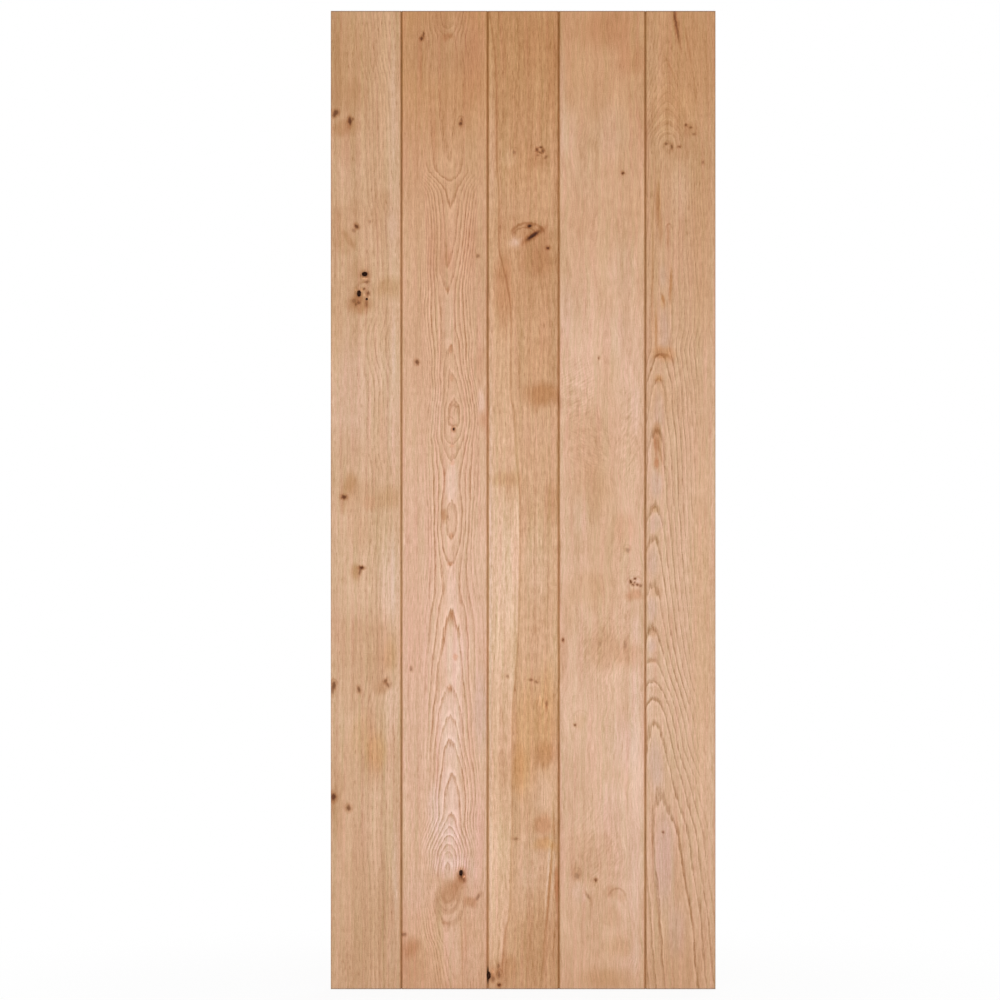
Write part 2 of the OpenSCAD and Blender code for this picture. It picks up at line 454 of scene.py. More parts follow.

# %% [markdown]
# ## Joints and edges
# Surfaces set back behind the front face, above all the V of each joint, are painted lighter: a painted
# light that offsets the shade falling in them. The wood beside each joint is browner, and the front is darker
# within a few millimetres of the leaf's outline, greyer along its top and foot. The sawn ends are darker than
# the face, because end grain drinks in light and dirt. All of it follows from where a point lies: behind the
# front face, beside a joint, or close to the leaf's outline. Each mask is a ramp over a few millimetres, here
# in metres.

# %% Edge shade group
JOINT_COLUMNS = (401.5, 487.5, 558.7, 645.2)
OUTLINE_RAMP = (0.0015, 0.0030)
GROOVE_RAMP = (0.0002, 0.0026)
BACK_HALF_RAMP = (0.016, 0.013)
FRONT_RAMP = (0.004, 0.001)
SEAM_RAMP = (0.0040, 0.0016)
EDGE_RAMP = (0.0026, 0.0005)
RULE_RAMP = (0.0022, 0.0012)
END_RAMP = (0.0006, 0.00012)

edge_group, given, made = new_group(
    "edge_shade", {"Vector": ["Place"]}, {"Float": ["Painted Groove Light", "Seam", "Edge", "Rule", "End"]})
side, depth, height = split(given["Place"])
seam_room = LEAF_WIDTH
for column in JOINT_COLUMNS:
    seam_room = calc("MINIMUM", abs(side - across(column)), seam_room)
end_room = LEAF_HEIGHT / 2 - abs(height - LEAF_HEIGHT / 2)
room = calc("MINIMUM", LEAF_WIDTH / 2 - abs(side), end_room)
near_front = ramp(depth, *FRONT_RAMP)
# Painted light: surfaces behind the front face, as in the V of each joint, which the board material lightens
# to offset their shade.
feed(made["Painted Groove Light"], ramp(room, *OUTLINE_RAMP) * ramp(depth, *GROOVE_RAMP) * ramp(depth, *BACK_HALF_RAMP))
feed(made["Seam"], ramp(seam_room, *SEAM_RAMP))
# Bands on the front near the leaf's outline, which the board material darkens, and greys along the top and
# foot.
feed(made["Edge"], near_front * ramp(room, *EDGE_RAMP))
feed(made["Rule"], near_front * ramp(end_room, *RULE_RAMP))
feed(made["End"], ramp(end_room, *END_RAMP))
print("group", edge_group.name, "has", len(edge_group.nodes), "nodes")

# %% [markdown]
# ## Values that change up the leaf
# A float curve node holds a line through a few given points. Here each point is a row of the
# photograph and a value, such as where the heart of the tree lies at that height.

# %% Curves up the leaf
LEAST_SPAN = 1e-6


def up_the_leaf(height, points):
    """A value that follows given points of (photograph row, value), smoothly."""
    values = [value for row, value in points]
    low = min(values)
    span = max(max(values) - low, LEAST_SPAN)
    stops = sorted((rise(row) / LEAF_HEIGHT, (value - low) / span) for row, value in points)
    node = add(height.tree, "ShaderNodeFloatCurve")
    curve = node.mapping.curves[0]
    while len(curve.points) < len(stops):
        curve.points.new(0.5, 0.5)
    for point, stop in zip(curve.points, stops):
        point.location = stop
        point.handle_type = "AUTO_CLAMPED"
    node.mapping.update()
    feed(node.inputs["Value"], height / LEAF_HEIGHT)
    return Flow(node.outputs[0]) * span + low


def columns(points):
    """The same points with each column of the photograph turned into a distance across the leaf."""
    return [(row, across(column)) for row, column in points]


print("curve helper ready")

# %% [markdown]
# ## The five boards
# Each board came from a different tree. What tells them apart is listed here: colours, ring
# spacing, the path of the heart, the ring count along it, and the knots, eyes, stains and open pits. Every
# mark is an oval, with its column and row, its width and height in pixels, its strength and, where it
# leans, its turn in degrees. A pit has its depth in millimetres instead of a strength. What changes up the
# board is a list of rows and values.

# %% Board description


@dataclass
class Mark:
    """An oval on the face, in pixels of the photograph, that may lean by some degrees."""

    column: float
    row: float
    width: float
    height: float
    strength: float
    turn: float = 0.0


@dataclass
class Pit:
    """An open knot: an oval as above, and its depth in millimetres."""

    column: float
    row: float
    width: float
    height: float
    depth: float
    turn: float = 0.0


@dataclass
class Board:
    """One board. Its spacing, reach and line width are in pixels, its offset and wave in metres."""

    slot: str
    pale: tuple
    early: tuple
    spacing: list
    roundness: float
    heart: list
    count: list
    knots: list
    stains: dict
    eyes: tuple = ()
    bends: tuple = ()
    # Pale chips round open knots, and painted glints.
    chips_and_glints: tuple = ()
    pits: tuple = ()
    sapwood: tuple = ()
    figure: tuple = (22.0, 22.0, 5.0)
    wobble: float = 0.5
    ragged: float = 0.5
    reach: float = 60.0
    line_width: float = 0.65
    bark_in_front: float = 0.0
    uneven: float = 0.6
    line_strength: float = 1.0
    line_rows: tuple = ()
    roundness_rows: tuple = ()
    lines_within: tuple = ()
    plains: tuple = ()
    ripples: tuple = ()
    wave: float = 0.0
    pores: float = 1.0
    bands: float = 0.35
    streak: float = 0.45
    fleck: float = 0.06
    mottle: float = 0.25
    # How strongly the painted shade towards the top and the foot darkens this board.
    painted_shade: float = 1.0
    offset: float = 0.0


def marks(*rows):
    """Marks from rows of column, row, width, height, strength and turn."""
    return [Mark(*row) for row in rows]


def tell(name):
    stain_count = sum(len(stains) for stains in boards[name].stains.values())
    print(name, "has", len(boards[name].knots), "knots and", stain_count, "stains")


CORNER_HOLE = Pit(488.6, 975.5, 4.4, 8, 11)
boards = {}
print("boards are described by", len(Board.__dataclass_fields__), "values")

# %% Left board
boards["left_board"] = Board(
    slot="left_board_oak", pale=display(209, 171, 139), early=display(174, 128, 90), roundness=6.0,
    spacing=[(11, 3.4), (500, 3.8), (989, 3.6)],
    heart=[
        (11, 330), (60, 335), (100, 342), (150, 343), (200, 345), (215, 349), (290, 351), (330, 345),
        (345, 343), (390, 350), (440, 348), (480, 353), (540, 351), (600, 347), (660, 350), (700, 345),
        (720, 343), (760, 345), (840, 344), (880, 346), (989, 346),
    ],
    count=[(11, 4.0), (300, 4.6), (500, 4.2), (700, 4.5), (989, 4.0)],
    knots=marks(
        (336, 112.5, 5, 5, 0.8), (334, 116, 3, 4, 0.6), (350, 121, 3, 8, 0.9), (353, 119, 2, 3, 0.5),
        (356.6, 226.5, 3.4, 4.4, 0.9, 35), (353.8, 230.5, 2.6, 4, 0.4, 35), (370, 222, 2.4, 3, 0.3),
        (364, 289, 2.6, 2.6, 0.7), (368, 293, 3, 3, 0.7), (354, 301, 3.6, 3.6, 0.35),
        (358.8, 302.5, 2.8, 2.8, 0.6), (366.5, 304, 2.4, 5, 0.4), (356, 304.5, 2.4, 2.4, 0.5),
        (366.4, 282, 5, 1.8, 0.5, 10), (364.7, 274.5, 7.4, 5.6, 0.6), (359, 294, 5, 7, 0.5),
        (344, 497, 5, 4, 0.95), (361.7, 567.6, 4.6, 2.8, 1.0), (360, 571.5, 2.6, 6, 0.6, -14),
        (334, 684.6, 3.6, 7, 0.75), (332.6, 690, 3, 8, 0.5), (359, 689.5, 3, 5.6, 0.75, 12),
        (385.4, 681, 2.6, 4, 0.6, -30), (388, 685, 2.2, 4.6, 0.6, 25), (333.5, 797, 4.6, 7, 0.95),
        (348.6, 808, 4.4, 5.4, 0.75),
    ),
    eyes=marks((334, 684.6, 7, 11, 0.4), (364, 294, 18, 24, 0.25)),
    stains={
        "brown": marks(
            (360, 303, 26, 22, 0.85), (360, 268, 24, 24, 0.3), (361, 294, 20, 26, 0.35),
            (364, 280, 14, 14, 0.4), (357, 576, 10, 20, 0.6), (345, 128, 32, 20, 0.65),
            (349, 240, 7, 26, 0.4, 35), (384, 685, 22, 16, 0.45), (343, 507, 4, 18, 0.4),
            (333, 806, 6, 16, 0.4), (365, 645, 80, 70, 0.3), (350, 215, 50, 30, 0.2),
            (365, 930, 90, 130, 0.22), (345, 760, 34, 60, 0.25), (338, 808, 16, 80, 0.4),
            (350, 850, 34, 90, 0.25), (337, 60, 14, 120, 0.35), (349, 450, 30, 50, 0.25),
            (360, 690, 44, 50, 0.25), (352, 790, 26, 40, 0.2), (349, 95, 34, 40, 0.3),
            (338, 232, 14, 50, 0.35), (382, 216, 22, 60, 0.3), (364, 490, 24, 30, 0.3),
            (371, 728, 24, 40, 0.25), (360, 530, 26, 50, 0.28), (348, 494, 22, 44, 0.45),
            (349, 150, 30, 40, 0.3), (371, 768, 24, 44, 0.35), (382, 670, 24, 44, 0.22),
        ),
        "ochre": marks((376, 752, 22, 44, 0.7), (362, 735, 26, 50, 0.35), (390, 655, 16, 40, 0.4)),
        "olive": marks(
            (350, 60, 44, 130, 0.42), (350, 483, 17, 26, 0.7), (355, 573, 12, 16, 0.5),
            (346, 240, 26, 26, 0.35), (388, 288, 30, 24, 0.6), (388, 497, 30, 26, 0.5),
            (336, 330, 14, 120, 0.3),
        ),
        "red": marks((370, 503, 16, 18, 0.4)),
        "pink": marks((352, 400, 44, 170, 0.5), (350, 165, 30, 60, 0.4)),
        "pale": marks(
            (393, 160, 14, 320, 0.45), (390, 225, 16, 30, 0.4), (393, 400, 15, 150, 0.5),
            (390, 580, 26, 90, 0.55), (392, 705, 14, 60, 0.4), (350, 400, 50, 120, 0.25),
            (393.6, 100, 5, 150, 0.4), (394, 345, 4, 80, 0.6), (393, 580, 5, 110, 0.5),
            (394.6, 865, 6, 90, 0.6), (396, 900, 4, 60, 0.4), (393, 950, 12, 50, 0.35),
            (382, 370, 16, 60, 0.3),
        ),
    },
    chips_and_glints=marks(
        (365, 278.2, 6.4, 2.4, 0.8), (361.8, 289.8, 3, 3.4, 0.7), (355.8, 289.8, 2.6, 3, 0.5),
        (364.4, 295, 2.4, 3, 0.5), (369.6, 297, 2.2, 2.6, 0.4),
    ),
    pits=[Pit(364.7, 274, 6.2, 4.8, 9), Pit(359, 293.5, 4.2, 6.8, 8), Pit(366.7, 299, 2.8, 2.8, 4)],
    offset=0.0, painted_shade=0.5, line_strength=0.42, lines_within=(358, 372, 386, 396), reach=90, bands=0.5,
    streak=0.53,
)
tell("left_board")

# %% Second board
boards["second_board"] = Board(
    slot="second_board_oak", pale=display(217, 177, 149), early=display(180, 127, 86), roundness=8.0,
    spacing=[
        (11, 2.2), (40, 2.4), (60, 3.0), (100, 3.5), (150, 3.5), (181, 2.7), (200, 2.2), (265, 2.0),
        (293, 2.1), (318, 2.4), (345, 2.2), (380, 1.9), (415, 2.0), (445, 2.3), (482, 2.7), (520, 2.2),
        (560, 2.6), (590, 3.2), (640, 3.5), (690, 3.3), (740, 2.7), (800, 2.5), (820, 2.7), (840, 2.8),
        (855, 2.5), (870, 2.2), (930, 2.2), (989, 2.3),
    ],
    roundness_rows=[(11, 8.0), (790, 8.0), (830, 3.0), (870, 3.0), (930, 6.0), (989, 6.0)],
    heart=[
        (11, 448), (40, 447), (166, 448), (200, 451), (265, 448), (293, 447), (344, 450), (373, 451),
        (411, 454), (445, 452), (500, 452), (566, 451), (611, 452), (683, 450), (747, 450), (775, 452),
        (810, 452), (826, 450), (863, 448), (911, 446), (945, 452), (989, 457),
    ],
    count=[
        (11, 6.2), (28, 7), (40, 8), (100, 8.55), (150, 8.8), (166, 9), (181, 10), (200, 11), (265, 12),
        (293, 13), (318, 13.4), (344, 13), (373, 12), (402, 11.05), (411, 10.6), (432, 11), (445, 12),
        (464, 13), (482, 13.4), (500, 13), (520, 12.6), (540, 13), (566, 14), (590, 14.4), (611, 14),
        (683, 13), (716, 12), (747, 11), (775, 10), (810, 9), (826, 8), (844, 6), (863, 4), (869, 3.7),
        (878, 4), (892, 6), (904, 8), (911, 9), (924, 9.8), (950, 10.3), (989, 11.4),
    ],
    line_rows=[
        (11, 0.5), (45, 0.5), (60, 0.35), (140, 0.35), (160, 0.6), (180, 0.8), (250, 0.95), (330, 0.95),
        (800, 1.1), (868, 0.9), (880, 0.25), (905, 0.35), (940, 0.7), (989, 0.7),
    ],
    knots=marks(
        (421.6, 38.4, 3.2, 3.4, 0.85), (423.6, 34, 1.8, 4.6, 0.7), (460.6, 124, 3, 4, 0.85),
        (461.6, 119.6, 2, 3.4, 0.5), (478, 256, 3, 3, 0.5), (417, 362, 3.6, 4.4, 0.8, 20),
        (453.6, 429, 2.4, 3.8, 1.0), (411, 669, 2.4, 4, 0.5), (461.5, 874.5, 6.4, 9, 0.8),
        (464, 880, 3, 4, 0.5), (478, 897, 2.8, 7, 0.5, -30), (404, 934.4, 4.4, 3, 0.55),
    ),
    bends=marks((461.7, 874, 5, 6, 0.7), (453.6, 429, 3, 4, 0.5)),
    eyes=marks(
        (461, 122, 7, 12, 0.45), (454, 416, 9, 22, 0.5), (451, 424, 6, 14, 0.45), (457, 414, 6, 16, 0.4),
        (448, 892, 24, 40, 0.4, 180), (448, 886, 17, 32, 0.3, 180), (449, 899, 30, 50, 0.3, 180),
    ),
    stains={
        "brown": marks(
            (444, 516, 7, 16, 0.8), (452, 892, 34, 26, 0.6, 45), (457, 887, 22, 14, 0.35, 35),
            (415, 610, 22, 200, 0.22), (462, 950, 2.2, 76, 0.5, 1), (465.6, 938, 2, 60, 0.35, 1),
            (470, 902, 16, 14, 0.7), (412, 965, 30, 56, 0.4), (411, 946, 20, 28, 0.5, -20),
            (481, 365, 12, 40, 0.3), (421, 62, 4, 66, 0.45), (425, 56, 3, 50, 0.35),
            (435, 140, 10, 50, 0.35), (437, 250, 20, 60, 0.25), (470, 250, 20, 60, 0.22),
            (446, 923, 10, 3, 0.4, -10),
        ),
        "red": marks(
            (447, 38, 14, 10, 0.5), (412, 949, 16, 22, 0.2, -20), (448, 258, 9, 24, 0.4),
            (484, 420, 8, 24, 0.3), (470, 60, 30, 130, 0.25), (455.5, 657, 6, 8, 0.7),
            (451.5, 536, 4, 8, 0.6), (450, 564, 7, 5, 0.6), (452, 616, 4.4, 10, 0.6), (450, 688, 5, 9, 0.6),
            (451, 349, 4.4, 10, 0.6), (452, 378, 4, 8, 0.5), (447.5, 290, 5, 7, 0.5), (452, 446, 6, 4, 0.5),
            (452, 463, 6, 5, 0.5), (482, 420, 10, 14, 0.2),
        ),
        "pale": marks(
            (481, 402, 7, 26, 0.9), (449, 320, 14, 60, 0.4), (452, 482, 16, 42, 0.8),
            (452, 595, 12, 60, 0.4), (455, 660, 22, 64, 0.65), (450, 720, 28, 70, 0.7),
            (450, 760, 26, 50, 0.5), (447, 805, 36, 66, 0.9), (446, 845, 44, 50, 1.0),
            (452, 950, 18, 80, 0.6), (470, 965, 24, 44, 0.35), (459, 30, 26, 40, 0.3),
            (460, 866, 16, 22, 0.4), (437, 890, 16, 24, 0.35), (434, 812, 14, 50, 0.4),
            (448, 868, 40, 22, 0.6), (470, 868, 16, 24, 0.4), (415, 890, 26, 50, 0.3),
            (436, 410, 16, 50, 0.3),
        ),
        "pink": marks((470, 600, 40, 160, 0.2), (418, 640, 36, 360, 0.35), (475, 845, 24, 130, 0.8)),
        "straw": marks((459, 872, 14, 22, 0.4), (437, 890, 14, 24, 0.35), (445, 945, 80, 90, 0.25)),
        "lilac": marks((480, 710, 14, 90, 0.5), (445, 45, 90, 80, 0.35)),
    },
    # The two chips on the same spot are a painted glint on the dark knot beside the open pit.
    chips_and_glints=marks((463.7, 876.6, 2.6, 3, 1.0), (463.7, 876.6, 2.6, 3, 1.0)),
    pits=[Pit(461, 872.8, 4, 6.2, 6), Pit(453.6, 429, 2, 3, 2), CORNER_HOLE],
    plains=marks((450, 890, 62, 34, 1.0), (461, 950, 32, 100, 1.0)),
    offset=1.7, reach=21, line_strength=1.0, streak=0.55, bark_in_front=1.0,
)
tell("second_board")

# %% Middle board
SAPWOOD_TO_HEART = 62
SAPWOOD_EDGE = [
    (11, 489.5), (80, 496), (166, 497), (199, 499), (237, 498.5), (262, 502), (286, 507), (326, 511),
    (391, 510.6), (411, 514), (452, 516), (515, 520), (606, 519), (639, 518), (672, 515.6), (740, 512),
    (823, 512), (856, 511), (906, 510), (931, 505.6), (956, 503), (989, 501),
]
SAPWOOD_PALENESS = [
    (11, 0.1), (150, 0.4), (250, 0.3), (400, 0.35), (470, 0.4), (500, 0.7), (560, 1.0), (660, 0.9),
    (720, 0.5), (810, 0.4), (840, 0.9), (930, 0.9), (965, 0.3), (989, 0.2),
]
boards["middle_board"] = Board(
    slot="middle_board_oak", pale=display(209, 167, 132), early=display(166, 114, 74), roundness=3.0,
    spacing=[(11, 5.2), (500, 4.6), (989, 5.0)],
    heart=[(row, column - SAPWOOD_TO_HEART) for row, column in SAPWOOD_EDGE],
    count=[(11, 2.0), (400, 2.4), (700, 2.1), (989, 2.5)],
    knots=marks(
        (537, 150, 2.6, 3.6, 0.7), (543, 151, 2.4, 3.4, 0.65), (541, 147, 3, 1.8, 0.6),
        (540, 152.6, 3.4, 1.6, 0.6, -20), (546, 157, 4, 2, 0.4, 30), (538, 155.4, 3, 2, 0.4),
        (514, 152, 2.6, 3.6, 0.4), (533, 235.5, 16, 4.2, 0.9, 35), (546.5, 704, 2.4, 5, 0.45),
        (529.5, 226, 5, 3, 0.9), (548, 248, 3.6, 3.2, 0.9), (507.6, 676, 3, 3, 0.4), (531, 680, 4, 2, 0.5),
        (536, 682, 3, 2.4, 0.45), (516, 839, 4.4, 2.2, 0.4), (489.5, 976, 4.6, 9, 0.4),
        (493.4, 979, 3, 5, 0.45), (499, 974.5, 2.4, 7, 0.6), (499, 985, 3.6, 3.2, 0.9),
        (498.6, 966, 2.8, 4, 0.5),
    ),
    bends=marks((532, 234, 14, 10, 1.2)),
    eyes=marks(
        (528, 233, 31, 20, 0.75), (525, 233.5, 20, 12, 0.6), (540, 152, 10, 9, 0.6),
        (500, 977, 7, 15, 0.45), (514, 152, 8, 10, 0.3),
    ),
    stains={
        "brown": marks(
            (543, 395, 44, 26, 0.9), (552, 500, 16, 50, 0.5), (546, 755, 26, 30, 0.7),
            (538, 945, 44, 90, 0.3), (534, 240, 40, 36, 0.5), (547, 268, 20, 70, 0.3),
            (514, 488, 20, 30, 0.25), (503, 768, 20, 50, 0.25), (538, 264, 40, 30, 0.6),
            (503, 268, 20, 34, 0.5), (503, 310, 20, 70, 0.4), (540, 158, 20, 22, 0.4),
            (508, 968, 22, 30, 0.5), (530, 300, 56, 70, 0.3), (538, 362, 40, 60, 0.35),
            (536, 45, 34, 60, 0.25), (537, 703, 1.8, 16, 0.6), (542.6, 702, 1.8, 12, 0.5),
            (546, 708, 2, 10, 0.6), (550, 880, 2.6, 90, 0.9, -4), (546, 925, 2.6, 100, 0.45, -4),
            (554, 828, 2.6, 60, 0.5, 3), (554, 940, 2, 60, 0.4, -3), (520, 235, 60, 120, 0.22),
            (547, 332, 20, 40, 0.2), (514, 650, 20, 50, 0.22),
        ),
        "ochre": marks(
            (526, 735, 30, 130, 0.6), (547, 715, 22, 110, 0.65), (519, 772, 16, 56, 0.6),
            (545, 846, 28, 14, 0.8), (520, 170, 40, 60, 0.25),
        ),
        "olive": marks((506, 478, 36, 18, 0.5)),
        "red": marks(
            (544, 825, 26, 26, 0.55), (552, 60, 12, 130, 0.25), (503, 290, 22, 60, 0.4),
            (556.5, 884, 5, 44, 0.8), (494, 974, 9, 18, 0.5),
        ),
        "pale": marks(
            (510, 157, 20, 20, 0.6), (515, 241, 18, 15, 0.85), (519, 239, 12, 10, 0.7),
            (514, 243, 9, 8, 0.8), (515, 190, 40, 60, 0.3), (540, 795, 24, 40, 0.35),
            (532, 862, 34, 60, 0.5), (492, 140, 6, 160, 0.5), (492, 480, 7, 340, 0.3),
            (490.6, 640, 3.4, 640, 0.5), (548, 870, 2.4, 100, 0.9, -4), (553, 880, 2.4, 90, 0.5, -4),
            (505, 560, 20, 130, 0.25), (536, 565, 26, 90, 0.4), (525, 890, 24, 50, 0.3),
        ),
        "pink": marks((535, 430, 40, 40, 0.3)),
    },
    chips_and_glints=marks((492.6, 972, 3, 4, 0.4), (540, 701, 2.6, 13, 0.35), (543.6, 706, 2.2, 8, 0.35)),
    pits=[Pit(533, 235.5, 14, 2.8, 1.4, 35), Pit(529.5, 226, 4.2, 2.2, 1.6), CORNER_HOLE],
    sapwood=SAPWOOD_EDGE, offset=3.1, painted_shade=0.85, line_strength=0.15, reach=200, mottle=0.3, bands=0.6,
    streak=0.62, fleck=0.12, pores=0.75,
)
tell("middle_board")

# %% Fourth board
boards["fourth_board"] = Board(
    slot="fourth_board_oak", pale=display(215, 176, 147), early=display(186, 140, 102), roundness=3.0,
    spacing=[(11, 9.0), (500, 8.0), (989, 9.0)],
    heart=[(11, 590), (200, 600), (400, 596), (600, 606), (800, 592), (989, 600)],
    count=[(11, 3.0), (250, 3.8), (500, 2.4), (760, 3.4), (989, 2.6)],
    knots=marks(
        (623, 173, 2.4, 2.8, 0.9), (599, 358, 1.8, 2.6, 0.55), (630.7, 581.6, 2.4, 3, 0.95),
        (635, 578.6, 2.4, 2.2, 0.9), (634.8, 582.6, 1.8, 1.8, 0.7), (633, 584.8, 2.4, 2.2, 0.8),
        (637.2, 584.6, 2.2, 2.2, 0.8), (640.8, 585.4, 3, 2.6, 0.5), (563, 640, 2, 3.2, 0.9),
        (627.6, 550, 4, 4, 0.4), (575, 725, 2, 2.6, 0.75), (600, 644, 2.4, 5, 0.25),
        (625, 645, 2.2, 7, 0.35), (595.7, 880, 2.6, 3.2, 0.8), (577, 876, 4.4, 6, 0.4),
        (588, 896, 2.4, 7, 0.45, 30),
    ),
    eyes=marks(
        (627, 549, 8, 9, 0.3), (581, 717, 15, 13, 0.2), (617, 897, 17, 17, 0.45), (635, 575, 13, 10, 0.18),
        (577, 875, 10, 14, 0.25), (634.5, 583, 17, 14, 0.25), (581, 447, 32, 34, 0.14),
        (579, 456, 22, 20, 0.12), (584, 440, 44, 52, 0.08), (628, 428, 26, 22, 0.12),
        (626, 446, 20, 22, 0.12), (628, 462, 24, 20, 0.1), (606, 628, 22, 20, 0.14),
    ),
    bends=marks((634, 583, 10, 10, 1.0), (563, 640, 4, 5, 0.8), (595.7, 880, 4, 5, 0.7)),
    stains={
        "brown": marks(
            (602, 30, 66, 44, 0.3), (612, 893, 14, 14, 0.4), (613, 915, 20, 24, 0.25),
            (586, 446, 44, 90, 0.35), (635, 210, 16, 60, 0.25), (580, 850, 30, 50, 0.25),
            (622, 896, 10, 12, 0.35), (602, 650, 40, 50, 0.4), (569, 610, 16, 60, 0.35),
            (625, 645, 26, 40, 0.2), (562, 655, 12, 60, 0.4), (580, 210, 24, 60, 0.2),
        ),
        "olive": marks(
            (604, 555, 40, 250, 0.3), (605, 978, 54, 24, 0.5), (577, 871, 14, 18, 0.3),
            (590, 490, 46, 60, 0.35), (588, 588, 40, 40, 0.4), (580, 720, 14, 18, 0.35),
            (618, 945, 30, 24, 0.3),
        ),
        "red": marks(
            (634, 595, 20, 12, 0.6), (612, 28, 56, 50, 0.3), (632, 60, 30, 40, 0.4),
            (628, 655, 30, 26, 0.3), (625, 530, 26, 40, 0.3),
        ),
        "pale": marks(
            (580, 340, 44, 140, 0.35), (630, 360, 34, 140, 0.4), (625, 742, 34, 60, 0.5),
            (636, 830, 16, 330, 0.4), (582, 150, 44, 120, 0.3), (566, 310, 14, 60, 0.4),
            (561, 90, 8, 120, 0.4), (581, 512, 16, 40, 0.35), (636, 410, 12, 50, 0.35),
            (634, 582, 14, 10, 0.6), (562, 110, 12, 130, 0.45), (612, 130, 34, 60, 0.65),
            (626, 968, 24, 30, 0.35), (613, 808, 30, 60, 0.35), (622, 270, 30, 60, 0.4),
            (582, 893, 24, 20, 0.6), (626, 880, 30, 120, 0.3), (613, 330, 24, 60, 0.35),
            (569, 130, 16, 50, 0.4), (636, 630, 12, 30, 0.5), (635, 955, 14, 40, 0.4),
            (635, 690, 14, 50, 0.3),
        ),
        "straw": marks((591, 890, 20, 26, 0.35)),
    },
    offset=4.9, figure=(22.0, 22.0, 8.0), wobble=4.0, ragged=0.0, line_width=2.0, line_strength=0.14,
    reach=200, fleck=0.02, painted_shade=0.8, streak=0.54, mottle=0.5, pores=0.35, wave=0.024,
    ripples=marks(
        (578, 392, 40, 80, 0.6, 32), (628, 440, 26, 110, 0.7, 60), (588, 450, 50, 70, 0.55, -30),
        (606, 645, 66, 110, 0.5, 62), (596, 850, 66, 120, 0.4, 52),
    ),
)
tell("fourth_board")

